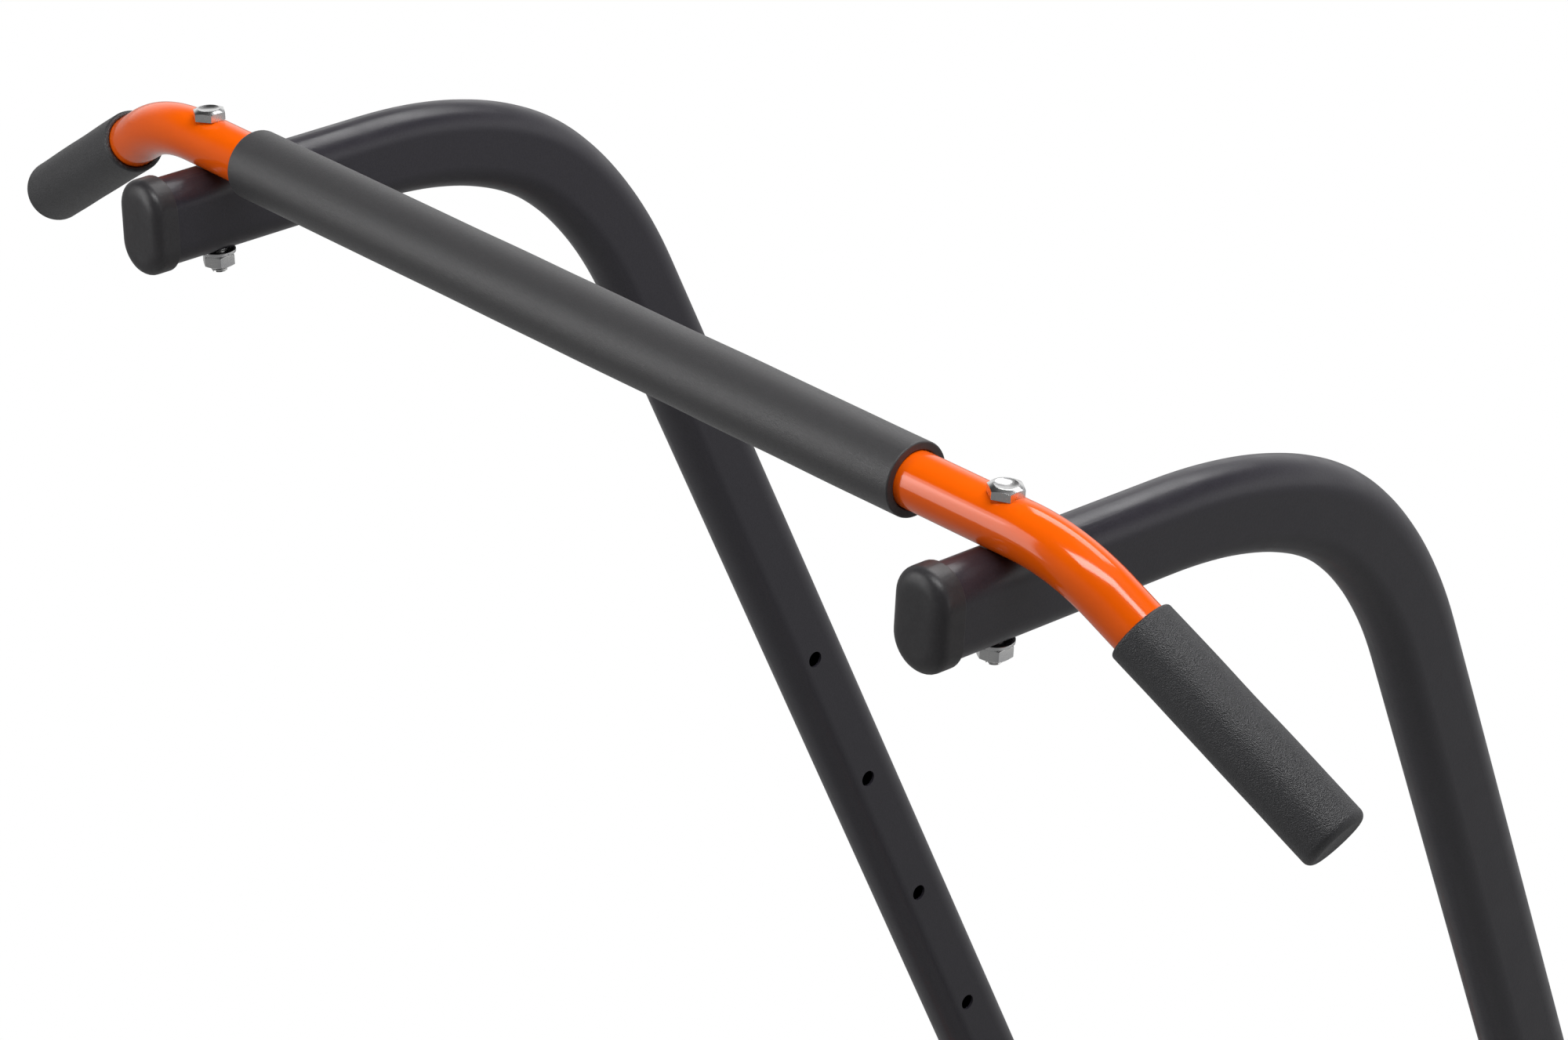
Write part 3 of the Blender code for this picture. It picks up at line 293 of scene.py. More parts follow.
# Studio: brightness, in which 1 is white, and where the white ends, as parts of a direction or in metres
WORLD_FILL = 0.15
ROOM_LEVEL = 0.22
ROOM_START = -0.25
ROOM_END = 0.35
CEILING_START = 0.20
CEILING_END = 0.60
CEILING_LEVEL = 0.05
FLOOR_HALF = 40.0
FLOOR_GREY = 0.62
FLOOR_ROUGHNESS = 0.9
FLOOR_LIFT = 0.40
FLOOR_MIRRORED = 0.44
FLOOR_DARK_Y = -2.5
FLOOR_WHITE_Y = 0.5
SHADOW_NEAR = 0.9
SHADOW_FAR = 1.9
MIRRORED_NEAR = 1.2
MIRRORED_FAR = 3.2

# Softboxes, placed by the photograph's highlights: name, direction from the bar, distance, width and height,
# brightness, and whether gloss shows it; the power is that of one square metre at brightness 1
SOFTBOX_POWER = 4
SOFTBOXES = (
    ("overhead_strip", (0.34, -0.22, 0.92), 2.5, (2.0, 0.6), 7.8, True),
    ("top_box", (0.3, 0.35, 0.89), 3.0, (1.8, 1.8), 3.0, False),
    ("front_panel", (-0.54, -0.82, 0.20), 2.6, (1.25, 2.2), 1.9, True),
    ("front_strip", (-0.65, -0.74, 0.20), 2.5, (0.45, 1.3), 2.6, True),
    ("back_box", (-0.20, 0.62, 0.76), 3.0, (1.9, 1.1), 3.6, True),
)

# Values that follow
SIDES = {"left": -1, "right": 1}
HEAD_ROOM = LEGS_CLOSE_IN * BAR_BOLT_FLATS / math.sqrt(3)
ARM_TOP = BAR_SINK - BAR_DIAMETER / 2
ARM_BOTTOM = ARM_TOP - TUBE_DEPTH
BAR_DOWN = Vector((0, math.sin(BAR_BEND_ROLL), -math.cos(BAR_BEND_ROLL)))
OVER_BAR = BAR_DIAMETER / 2 + GAP
BAR_BOLT_HOLE = BAR_BOLT_DIAMETER / 2 + HOLE_CLEARANCE
CLOSE_BOLT_HOLE = FRAME_BOLT_DIAMETER / 2 + HOLE_CLEARANCE
FRAME_BOLT_HOLE = FRAME_BOLT_DIAMETER / 2 + FRAME_HOLE_ROOM
STABILISER_MID = SHOE_SOLE + RAIL_SIZE / 2
RAIL_MID = STABILISER_MID + RAIL_SIZE + GAP
RAIL_TOP = RAIL_MID + RAIL_SIZE / 2
PLATE_BOTTOM = RAIL_TOP + GAP
FIT = GAP + LINER_WALL + GAP
SLEEVE_OUTER = FIT + SLEEVE_WALL
SOCKET_FLOOR = SOCKET_REACH - SOCKET_DEPTH
DIP_BOLT_ROD = ((-DIP_BOLT_DRILL, 0, DIP_BOLT_REACH), (DIP_BOLT_DRILL, 0, DIP_BOLT_REACH), CLOSE_BOLT_HOLE)
STEM_TOP = HOUSING_TOP + STEM_OUT
LAST_HOLE = FIRST_HOLE + HOLE_PITCH * (HOLE_COUNT - 1)


# Mesh helpers

def frame_on(origin, z_axis, x_axis):
    """Matrix at origin whose Z runs along z_axis and whose X is as near x_axis as it can be."""
    z = Vector(z_axis).normalized()
    x = (Vector(x_axis) - z * z.dot(Vector(x_axis))).normalized()
    turned_axes = Matrix((x, z.cross(x), z)).transposed().to_4x4()
    turned_axes.translation = Vector(origin)
    return turned_axes


def rounded_rectangle(width, depth, corner, steps=CORNER_STEPS):
    """Points round a rectangle with round corners, as (x, y) pairs."""
    points = []
    for quarter, (sx, sy) in enumerate(((1, 1), (-1, 1), (-1, -1), (1, -1))):
        for step in range(steps + 1):
            angle = math.radians(90 * (quarter + step / steps))
            points.append((sx * (width / 2 - corner) + corner * math.cos(angle),
                           sy * (depth / 2 - corner) + corner * math.sin(angle)))
    return points
def level_ring(outline, height):
    """The points of an outline, all at one height."""
    return [Vector((x, y, height)) for x, y in outline]


def quarter_arc(reach, rise, steps):
    """Points round a quarter turn, each as (how far in from the side, how far on towards the end)."""
    angles = [math.radians(90 * step / steps) for step in range(steps + 1)]
    return [(reach * (1 - math.cos(angle)), rise * math.sin(angle)) for angle in angles]
def new_object(name, mesh, matrix):
    """Put a mesh in the scene."""
    made = bpy.data.objects.new(name, mesh)
    made.matrix_world = matrix
    bpy.context.scene.collection.objects.link(made)
    return made


def mesh_from(name, bm):
    """Close a bmesh into a new mesh with its faces turned outward."""
    bmesh.ops.recalc_face_normals(bm, faces=bm.faces)
    mesh = bpy.data.meshes.new(name)
    bm.to_mesh(mesh)
    bm.free()
    return mesh


def skin(bm, rings, cyclic=False):
    """Faces between rings of equal count; returns the rings' vertices."""
    loops = [[bm.verts.new(point) for point in ring] for ring in rings]
    pairs = list(zip(loops, loops[1:]))
    if cyclic:
        pairs.append((loops[-1], loops[0]))
    for lower, upper in pairs:
        count = len(lower)
        for i in range(count):
            j = (i + 1) % count
            bm.faces.new((lower[i], lower[j], upper[j], upper[i]))
    return loops


def shell(name, outer, inner, close_end=False):
    """Closed wall between two skins, joined at the first rings and, unless closed, at the last ones."""
    bm = bmesh.new()
    out = skin(bm, outer)
    inn = skin(bm, inner)
    rims = [(out[0], inn[0])]
    if close_end:
        bm.faces.new(out[-1])
        bm.faces.new(inn[-1])
    else:
        rims.append((out[-1], inn[-1]))
    for a, b in rims:
        for i in range(len(a)):
            j = (i + 1) % len(a)
            bm.faces.new((a[i], a[j], b[j], b[i]))
    return mesh_from(name, bm)


def capped(name, rings):
    """Solid through rings, closed at both ends."""
    bm = bmesh.new()
    loops = skin(bm, rings)
    bm.faces.new(loops[0])
    bm.faces.new(loops[-1])
    return mesh_from(name, bm)


def prism(name, outline, length):
    """Solid of an outline drawn out along Z, centred."""
    return capped(name, [level_ring(outline, z) for z in (-length / 2, length / 2)])


def plate_mesh(size, corner, steps):
    """Flat plate with round corners, centred."""
    width, depth, thickness = size
    return prism("plate", rounded_rectangle(width, depth, corner, steps), thickness)


def straight_tube(name, size, corner, wall, length):
    """Wall of a tube with round corners along Z, centred."""
    width, depth = size
    skins = []
    for inset in (0.0, wall):
        outline = rounded_rectangle(width - 2 * inset, depth - 2 * inset, corner - inset)
        skins.append([level_ring(outline, z) for z in (-length / 2, length / 2)])
    return shell(name, *skins)


def lathe(name, profile, steps=ROUND_STEPS, closed=False):
    """Mesh turned about Z from (radius, height) points."""
    bm = bmesh.new()
    rings = []
    for radius, height in profile:
        if radius < NO_LENGTH:
            rings.append([bm.verts.new((0.0, 0.0, height))])
            continue
        turns = [2 * math.pi * i / steps for i in range(steps)]
        rings.append([bm.verts.new((radius * math.cos(a), radius * math.sin(a), height)) for a in turns])
    pairs = list(zip(rings, rings[1:]))
    if closed:
        pairs.append((rings[-1], rings[0]))
    for lower, upper in pairs:
        for i in range(steps):
            j = (i + 1) % steps
            below = (lower[i % len(lower)], lower[j % len(lower)])
            above = (upper[j % len(upper)], upper[i % len(upper)])
            bm.faces.new(list(dict.fromkeys(below + above)))
    return mesh_from(name, bm)


def eased(profile, radius, steps=4, closed=False):
    """A profile with each of its corners rounded to a radius, or as much as its runs allow."""
    points = [Vector(p) for p in profile]
    count = len(points)
    result = []
    for i, point in enumerate(points):
        to_before = points[i - 1] - point
        to_after = points[(i + 1) % count] - point
        at_end = not closed and i in (0, count - 1)
        no_run = min(point.x, to_before.length, to_after.length) < NO_LENGTH
        if at_end or no_run or abs(to_before.angle(to_after) - math.pi) < NO_TURN:
            result.append(tuple(point))
            continue
        cut_back = min(radius, RUN_SHARE * to_before.length, RUN_SHARE * to_after.length)
        start = point + to_before.normalized() * cut_back
        end = point + to_after.normalized() * cut_back
        for step in range(steps + 1):
            t = step / steps
            result.append(tuple(start * (1 - t) ** 2 + point * 2 * t * (1 - t) + end * t ** 2))
    return result


def tube_rings(points, radius, steps=ROUND_STEPS):
    """Rings round a line of points, kept from twisting."""
    points = [Vector(point) for point in points]
    rings = []
    turns = [2 * math.pi * k / steps for k in range(steps)]
    first_run = (points[1] - points[0]).normalized()
    side = Vector((0, 1, 0)) if abs(first_run.y) < NEARLY_PARALLEL else Vector((1, 0, 0))
    for i, point in enumerate(points):
        along = (points[min(i + 1, len(points) - 1)] - points[max(i - 1, 0)]).normalized()
        side = (side - along * along.dot(side)).normalized()
        other = along.cross(side)
        rings.append([point + radius * (side * math.cos(a) + other * math.sin(a)) for a in turns])
    return rings


def box_mesh(name, size):
    """A box centred on its origin."""
    bm = bmesh.new()
    bmesh.ops.create_cube(bm, size=1.0, matrix=Matrix.Diagonal((*size, 1.0)))
    return mesh_from(name, bm)


def rods_mesh(name, rods, sides=HOLE_SIDES):
    """Cylinders between pairs of points, as (start, end, radius)."""
    bm = bmesh.new()
    for start, end, radius in rods:
        start, end = Vector(start), Vector(end)
        hint = (1, 0, 0) if abs((end - start).normalized().x) < NEARLY_PARALLEL else (0, 1, 0)
        place = frame_on((start + end) / 2, end - start, hint)
        bmesh.ops.create_cone(bm, cap_ends=True, segments=sides, radius1=radius, radius2=radius,
                              depth=(end - start).length, matrix=place)
    return mesh_from(name, bm)


def combine(target, mesh, matrix, operation):
    """Cut with, add or keep the overlap with another shape."""
    other = new_object("tool_shape", mesh, matrix)
    step = target.modifiers.new(operation.lower(), "BOOLEAN")
    step.operation = operation
    step.object = other
    step.solver = "EXACT"
    settle(target)
    bpy.data.objects.remove(other)
def cut(target, mesh, matrix):
    """Cut a shape out of an object."""
    combine(target, mesh, matrix, "DIFFERENCE")


def join(target, mesh, matrix):
    """Weld a shape to an object."""
    combine(target, mesh, matrix, "UNION")


def drill(target, rods, matrix=Matrix(), sides=HOLE_SIDES):
    """Drill round holes, given as (start, end, radius)."""
    cut(target, rods_mesh("drill", rods, sides), matrix)


def short_rod(x, y, z, radius):
    """Rod along Z that reaches through a plate or nut which starts at z."""
    return (x, y, z - DRILL_BELOW), (x, y, z + DRILL_ABOVE), radius


def trim(target, half, matrix):
    """Cut away what lies in a cube, given by half its side."""
    cut(target, box_mesh("trim", (2 * half, 2 * half, 2 * half)), matrix)
def settle(made):
    """Apply an object's modifiers to its mesh."""
    bpy.context.view_layer.update()
    evaluated = made.evaluated_get(bpy.context.evaluated_depsgraph_get())
    mesh = bpy.data.meshes.new_from_object(evaluated)
    made.modifiers.clear()
    made.data = mesh


def soften(made, width, segments=2, angle=35):
    """Round an object's edges that are sharper than an angle in degrees."""
    step = made.modifiers.new("edges", "BEVEL")
    step.width = width
    step.segments = segments
    step.limit_method = "ANGLE"
    step.angle_limit = math.radians(angle)
    step.harden_normals = False
    settle(made)


def dress(made, node, body, look, sharp=32):
    """Give a piece its material and smooth shading, hang it on its body, and hide the solid that it stands
    for.
    """
    slot, material = look
    made.name = "fine_" + node
    made.data.materials.clear()
    made.data.materials.append(material)
    made.data.shade_smooth()
    made.data.set_sharp_from_angle(angle=math.radians(sharp))
    flat = made.modifiers.new("flat_faces", "WEIGHTED_NORMAL")
    flat.keep_sharp = True
    settle(made)
    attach(made, body)
    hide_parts(node)
    return made


# Frames and paths, the same as the solids'

def leaning(side):
    """Turn of one upright: its legs close in towards the floor and spread a little to the back."""
    lean = Matrix.Rotation(LEGS_CLOSE_IN * side, 4, "Y")
    return lean @ Matrix.Rotation(-LEGS_SPREAD_BACK * side, 4, "Z")


def side_frame(side):
    """Frame of one upright, its origin on the middle of the bar over it."""
    return Matrix.Translation((side * UPRIGHT_SPACING / 2, BAR_Y, BAR_HEIGHT)) @ leaning(side)


def upright_stations():
    """Centre line of an upright in its side frame: (y, z, slope, share of the bend swell)."""
    z = ARM_TOP - TUBE_DEPTH / 2
    y = ARM_BACK
    stations = [(-ARM_FRONT, z, 0.0, 0.0), (y, z, 0.0, 0.0)]
    count = BEND_STEPS * BEND_SUBSTEPS
    step = BEND_ANGLE / count
    for i in range(count):
        share = (i + 0.5) / count
        radius = BEND_RADIUS * (1 + BEND_EASE * (4 * abs(share - 0.5) - 1))
        y += radius * step * math.cos(step * (i + 0.5))
        z -= radius * step * math.sin(step * (i + 0.5))
        if (i + 1) % BEND_SUBSTEPS == 0:
            slope = step * (i + 1)
            stations.append((y, z, slope, math.sin(math.pi * slope / BEND_ANGLE) ** 2))
    return stations


def leg_frame(distance):
    """Frame on the leg's axis, distance below the bend: Z up the leg, Y out of its rear face."""
    y, z, slope, _ = upright_stations()[-1]
    origin = (0.0, y + distance * math.cos(slope), z - distance * math.sin(slope))
    return frame_on(origin, (0, -math.cos(slope), math.sin(slope)), (1, 0, 0))


def leg_reach(height):
    """Distance below the bend at which the leg's axis, with its lean, is at a height over the floor."""
    top, lower = (BAR_HEIGHT + (leaning(1) @ leg_frame(distance).translation).z for distance in (0.0, 1.0))
    return (top - height) / (top - lower)


FOOT_DISTANCE = leg_reach(PLATE_BOTTOM + FOOT_PLATE[2] / 2)
FOOT_PLACE = leaning(1) @ leg_frame(FOOT_DISTANCE).translation
BASE_HALF = (FRONT_REACH + FOOT_PLACE.y + REAR_BOLT_RUN + STABILISER_INSET) / 2
BAR_Y = FRONT_REACH - BASE_HALF
BAR_MIDDLE = Vector((0, BAR_Y, BAR_HEIGHT))
FOOT_Y = BAR_Y + FOOT_PLACE.y
FOOT_X = UPRIGHT_SPACING / 2 + FOOT_PLACE.x
REAR_Y = FOOT_Y + REAR_BOLT_RUN
FRONT_Y = STABILISER_INSET - BASE_HALF
FOOT_BOLT_Y = FOOT_Y + FOOT_BOLT_RUN
BRACE_FOOT_Y = FOOT_Y - BRACE_RUN
BRACE_FOOT_BOLT_Y = BRACE_FOOT_Y - BRACE_BOLT_OFFSET
BRACE_DISTANCE = leg_reach(RAIL_TOP + BRACE_RISE)


def bar_bend_point(side, angle):
    """Point of the bar's centre line, at an angle into the bend of one end."""
    out = UPRIGHT_SPACING / 2 + BAR_BEND_START + BAR_BEND_RADIUS * math.sin(angle)
    return BAR_MIDDLE + Vector((side * out, 0, 0)) + BAR_DOWN * BAR_BEND_RADIUS * (1 - math.cos(angle))


def bar_end_frame(side):
    """Frame at the end of the bar's bend: Z along the straight outer end."""
    along = Vector((side * math.cos(BAR_BEND_ANGLE), 0, 0)) + BAR_DOWN * math.sin(BAR_BEND_ANGLE)
    return frame_on(bar_bend_point(side, BAR_BEND_ANGLE), along, (0, 1, 0))


def bar_line():
    """Centre line of the bar from left to right, its ends bent outward and down."""
    angles = [BAR_BEND_ANGLE * step / BAR_BEND_STEPS for step in range(BAR_BEND_STEPS + 1)]
    right = [bar_bend_point(1, angle) for angle in angles]
    right.append(bar_end_frame(1) @ Vector((0, 0, BAR_END_LENGTH)))
    left = [Vector((-point.x, point.y, point.z)) for point in reversed(right)]
    return left + right


def dip_frame(side):
    """Frame of a sleeve at rest on its lowest hole, Z up the leg."""
    return side_frame(side) @ leg_frame(LAST_HOLE)


def arm_frame(side):
    """Frame of a dip arm: origin on the leg's axis, Z level and forward, X up."""
    sine, cosine = math.sin(BEND_ANGLE), math.cos(BEND_ANGLE)
    return dip_frame(side) @ frame_on((0, 0, -SOCKET_DROP), (0, -sine, cosine), (0, cosine, sine))


def pin_frame(side):
    """Frame of a pull pin: origin on the inner face of the leg, Z towards the user."""
    inner = -side * TUBE_WIDTH / 2
    return dip_frame(side) @ frame_on((inner, HOLE_SHIFT, 0), (-side, 0, 0), (0, 0, 1))


# Finishes

class Finish:
    """A procedural material on the principled shader, in the metres of the piece that wears it."""

    def __init__(self, name, colour, roughness, metallic=0.0):
        self.material = bpy.data.materials.new(name)
        self.material.use_nodes = True
        self.nodes = self.material.node_tree.nodes
        self.links = self.material.node_tree.links
        self.shader = self.nodes["Principled BSDF"]
        self.place = self.nodes.new("ShaderNodeTexCoord").outputs["Object"]
        self.relief = None
        self.set("Base Color", (*colour, 1.0))
        self.set("Roughness", roughness)
        self.set("Metallic", metallic)

    def set(self, socket, value):
        """Set one of the shader's own sockets."""
        self.shader.inputs[socket].default_value = value

    def grain(self, scale, detail=2.0):
        """Noise from 0 to 1 whose grains are about 1 / scale metres wide."""
        texture = self.nodes.new("ShaderNodeTexNoise")
        texture.inputs["Scale"].default_value = scale
        texture.inputs["Detail"].default_value = detail
        self.links.new(self.place, texture.inputs["Vector"])
        return texture.outputs["Fac"]

    def cells(self, scale):
        """Distance to the nearest of many scattered points, about 1 / scale metres apart."""
        texture = self.nodes.new("ShaderNodeTexVoronoi")
        texture.inputs["Scale"].default_value = scale
        self.links.new(self.place, texture.inputs["Vector"])
        return texture.outputs["Distance"]

    def spread(self, value, low, high):
        """Map a noise texture's values to a range from low to high."""
        change = self.nodes.new("ShaderNodeMapRange")
        limits = (("From Min", NOISE_LOW), ("From Max", NOISE_HIGH), ("To Min", low), ("To Max", high))
        for socket, number in limits:
            change.inputs[socket].default_value = number
        self.links.new(value, change.inputs["Value"])
        return change.outputs["Result"]

    def tint(self, value, first, second):
        """Colour the surface from first to second as a noise texture goes from low to high."""
        ramp = self.nodes.new("ShaderNodeValToRGB")
        stops = zip(ramp.color_ramp.elements, (NOISE_LOW, NOISE_HIGH), (first, second))
        for element, position, colour in stops:
            element.position = position
            element.color = (*colour, 1.0)
        self.links.new(value, ramp.inputs["Fac"])
        self.links.new(ramp.outputs["Color"], self.shader.inputs["Base Color"])

    def gloss(self, value):
        """Let a texture set the roughness."""
        self.links.new(value, self.shader.inputs["Roughness"])

    def bump(self, value, height):
        """Relief of a height in metres, on top of any that is there."""
        node = self.nodes.new("ShaderNodeBump")
        node.inputs["Distance"].default_value = height
        self.links.new(value, node.inputs["Height"])
        if self.relief is not None:
            self.links.new(self.relief, node.inputs["Normal"])
        self.relief = node.outputs["Normal"]
        self.links.new(self.relief, self.shader.inputs["Normal"])


def powder_coat():
    """Satin black powder coat: fine orange peel and small pale specks."""
    made = Finish("satin_black_powder_coat", (0.027, 0.0245, 0.032), 0.33)
    made.tint(made.grain(900.0, 3.0), (0.0225, 0.0205, 0.0275), (0.031, 0.0285, 0.037))
    made.gloss(made.spread(made.grain(60.0), 0.29, 0.37))
    made.bump(made.grain(650.0, 2.0), 0.00005)
    made.bump(made.grain(2400.0, 1.0), 0.00003)
    made.set("Specular IOR Level", 0.52)
    return made.material


def orange_lacquer():
    """Gloss orange paint under a clear coat, with a faint orange peel."""
    made = Finish("gloss_orange_paint", (0.91, 0.118, 0.001), 0.30)
    made.tint(made.grain(35.0), (0.90, 0.114, 0.001), (0.92, 0.122, 0.001))
    made.gloss(made.spread(made.grain(300.0), 0.24, 0.34))
    made.bump(made.grain(180.0, 1.0), 0.000012)
    made.set("Specular IOR Level", 0.0)
    made.set("Coat Weight", 1.0)
    made.set("Coat Roughness", 0.12)
    return made.material


def smooth_foam():
    """Closed-cell foam with a ground, velvety skin."""
    made = Finish("smooth_grey_foam", (0.043, 0.042, 0.044), 0.42)
    made.tint(made.grain(1500.0, 4.0), (0.036, 0.035, 0.037), (0.050, 0.049, 0.051))
    made.bump(made.cells(2600.0), 0.00008)
    made.bump(made.grain(120.0, 3.0), 0.00012)
    made.gloss(made.spread(made.grain(900.0), 0.38, 0.48))
    made.set("Specular IOR Level", 0.6)
    made.set("Sheen Weight", 0.05)
    made.set("Sheen Roughness", 0.5)
    return made.material


def grained_foam():
    """Darker dipped foam with an open grain that shows in its highlights."""
    made = Finish("grained_black_foam", (0.017, 0.017, 0.0195), 0.46)
    made.tint(made.grain(1100.0, 4.0), (0.007, 0.007, 0.0085), (0.027, 0.027, 0.031))
    made.bump(made.cells(1600.0), 0.00021)
    made.bump(made.grain(900.0, 3.0), 0.00010)
    made.gloss(made.spread(made.grain(900.0), 0.40, 0.54))
    made.set("Specular IOR Level", 0.85)
    return made.material


def moulded_plastic():
    """Matt black moulding with a fine spark texture."""
    made = Finish("moulded_black_plastic", (0.0265, 0.025, 0.0275), 0.42)
    made.tint(made.grain(500.0, 3.0), (0.023, 0.0215, 0.024), (0.030, 0.0285, 0.031))
    made.set("Specular IOR Level", 0.55)
    made.bump(made.grain(1400.0, 2.0), 0.00004)
    made.gloss(made.spread(made.grain(90.0), 0.36, 0.48))
    return made.material


def rubber():
    """Dull black rubber, a little dusty."""
    made = Finish("black_rubber", (0.020, 0.020, 0.020), 0.75)
    made.tint(made.grain(70.0, 4.0), (0.016, 0.016, 0.016), (0.030, 0.030, 0.029))
    made.bump(made.grain(900.0, 3.0), 0.0001)
    made.gloss(made.spread(made.grain(60.0), 0.66, 0.84))
    return made.material


def polished_steel():
    """Bright zinc-plated steel with fine tool marks."""
    made = Finish("bright_zinc_steel", (0.74, 0.74, 0.74), 0.24, 1.0)
    made.tint(made.grain(160.0, 3.0), (0.69, 0.69, 0.70), (0.79, 0.79, 0.78))
    made.gloss(made.spread(made.grain(200.0), 0.19, 0.29))
    made.bump(made.grain(700.0, 2.0), 0.000006)
    return made.material


def blackened_steel():
    """Black oxide steel, oiled."""
    made = Finish("black_oxide_steel", (0.10, 0.10, 0.105), 0.38, 1.0)
    made.tint(made.grain(300.0, 4.0), (0.07, 0.07, 0.075), (0.14, 0.14, 0.145))
    made.gloss(made.spread(made.grain(500.0), 0.30, 0.46))
    made.bump(made.grain(900.0, 2.0), 0.00003)
    return made.material


# The looks: a slot and a material for each
BLACK_PAINT = ("black_paint", powder_coat())
ORANGE_PAINT = ("orange_paint", orange_lacquer())
CENTRE_FOAM = ("black_foam", smooth_foam())
GRIP_FOAM = ("grey_foam", grained_foam())
BLACK_PLASTIC = ("black_plastic", moulded_plastic())
BLACK_RUBBER = ("black_rubber", rubber())
BRIGHT_STEEL = ("bright_steel", polished_steel())
DARK_STEEL = ("dark_steel", blackened_steel())
WASHER_STEEL = ("dark_steel", BRIGHT_STEEL[1])


# Uprights

def grown_outline(grow):
    """Outline of the upright's tube, grown by a distance."""
    return rounded_rectangle(TUBE_WIDTH + 2 * grow, TUBE_DEPTH + 2 * grow, TUBE_CORNER + grow)


def section_ring(station, inset):
    """One ring of the upright's tube, inset from its outside and swollen where the tube is bent."""
    y, z, slope, swell = station
    out = Vector((0, math.sin(slope), math.cos(slope)))
    grow = 1 + swell * BEND_SWELL / (TUBE_DEPTH / 2)
    return [Vector((u, y, z)) + out * (v * grow if v < 0 else v) for u, v in grown_outline(-inset)]


def upright_tube():
    """The wall of an upright's tube, from its front end to past its foot, in its side frame."""
    stations = upright_stations()
    y, z, slope, _ = stations[-1]
    end = FOOT_DISTANCE + TUBE_DEPTH
    stations.append((y + end * math.cos(slope), z - end * math.sin(slope), slope, 0.0))
    skins = [[section_ring(station, inset) for station in stations] for inset in (0.0, TUBE_WALL)]
    return shell("upright", *skins)


def make_upright(label, side):
    """Gooseneck upright with its foot plate welded on, its holes drilled and a saddle notched for the bar."""
    at = side_frame(side)
    made = new_object("upright", upright_tube(), at)
    x, height = side * FOOT_X, PLATE_BOTTOM + FOOT_PLATE[2] / 2
    trim(made, FOOT_TRIM, Matrix.Translation((x, FOOT_Y, height - FOOT_TRIM)))
    join(made, plate_mesh(FOOT_PLATE, FOOT_PLATE_CORNER, steps=4), Matrix.Translation((x, FOOT_Y, height)))
    drill(made, [short_rod(x, y, PLATE_BOTTOM, FRAME_BOLT_HOLE) for y in (REAR_Y, FOOT_BOLT_Y)])
    drill(made, upright_holes(side), at)
    near, far = (side * UPRIGHT_SPACING / 2 + away * TUBE_WIDTH for away in (-1, 1))
    saddle = ((near, BAR_Y, BAR_HEIGHT), (far, BAR_Y, BAR_HEIGHT), BAR_DIAMETER / 2 + SADDLE_ROOM)
    drill(made, [saddle], sides=ROUND_STEPS)
    soften(made, WELDED_EDGE)
    dress(made, "upright_" + label, "frame", BLACK_PAINT)


def upright_holes(side):
    """The round holes of an upright, in its side frame."""
    inner = -side * TUBE_WIDTH / 2
    rods = []
    for i in range(HOLE_COUNT):
        place = leg_frame(FIRST_HOLE + i * HOLE_PITCH)
        start, end = (place @ Vector((inner * reach, HOLE_SHIFT, 0)) for reach in HOLE_DRILL)
        rods.append((start, end, HOLE_DIAMETER / 2))
    rods.append(((0, 0, 0), (0, 0, -BAR_DIAMETER - TUBE_DEPTH), BAR_BOLT_HOLE))
    place = leg_frame(BRACE_DISTANCE)
    start, end = (place @ Vector((0, y, BRACE_BOLT_OFFSET)) for y in (-TUBE_DEPTH, TUBE_DEPTH))
    rods.append((start, end, CLOSE_BOLT_HOLE))
    return rods


def cap_ring(grow, height):
    """One ring of a cap or liner, grown from the outside of the tube."""
    return level_ring(grown_outline(grow), height)


def make_cap(label, side):
    """Moulded cap with a crowned face over the front end of an upright."""
    levels = list(CAP_RIM)
    for step in range(CAP_RINGS + 1):
        reach = 1 - math.cos(math.radians(90 * step / CAP_RINGS))
        rise = (1 - (1 - reach) ** CAP_CROWN_POWER) ** (1 / CAP_CROWN_POWER)
        levels.append((CAP_LENGTH - CAP_CROWN_DEPTH * (1 - rise), CAP_CROWN_REACH * reach))
    outer = [cap_ring(GAP + CAP_WALL - inset, height) for height, inset in levels]
    inner = [cap_ring(GAP, 0.0), cap_ring(GAP, CAP_LENGTH - CAP_CROWN_DEPTH),
             cap_ring(GAP - CAP_INNER_EDGE, CAP_LENGTH - CAP_WALL)]
    rim = CAP_LENGTH - ARM_FRONT - GAP - CAP_ROUNDING
    local = frame_on((0, rim, ARM_TOP - TUBE_DEPTH / 2), (0, -1, 0), (1, 0, 0))
    made = new_object("cap", shell("cap", outer, inner, close_end=True), side_frame(side) @ local)
    soften(made, CAP_EDGE, segments=3, angle=50)
    dress(made, "upright_cap_" + label, "frame", BLACK_PLASTIC)


# Pull-up bar and its grips

def bar_tube(name, line):
    """The wall of the bar's tube along a line of points."""
    return shell(name, tube_rings(line, BAR_DIAMETER / 2), tube_rings(line, BAR_DIAMETER / 2 - BAR_WALL))


def make_bar():
    """The orange steel bar, open at both ends, with a hole for each bolt."""
    line = bar_line()
    shares = [i / BAR_END_PIECES for i in range(BAR_END_PIECES + 1)]
    first = [line[0].lerp(line[1], share) for share in shares[:-1]]
    last = [line[-2].lerp(line[-1], share) for share in shares[1:]]
    made = new_object("bar", bar_tube("bar", first + line[1:-1] + last), Matrix())
    rods = []
    for side in SIDES.values():
        start, end = (side_frame(side) @ Vector((0, 0, z)) for z in (BAR_DIAMETER, -BAR_DIAMETER))
        rods.append((start, end, BAR_BOLT_HOLE))
    drill(made, rods)
    dress(made, "pull_up_bar", "frame", ORANGE_PAINT)


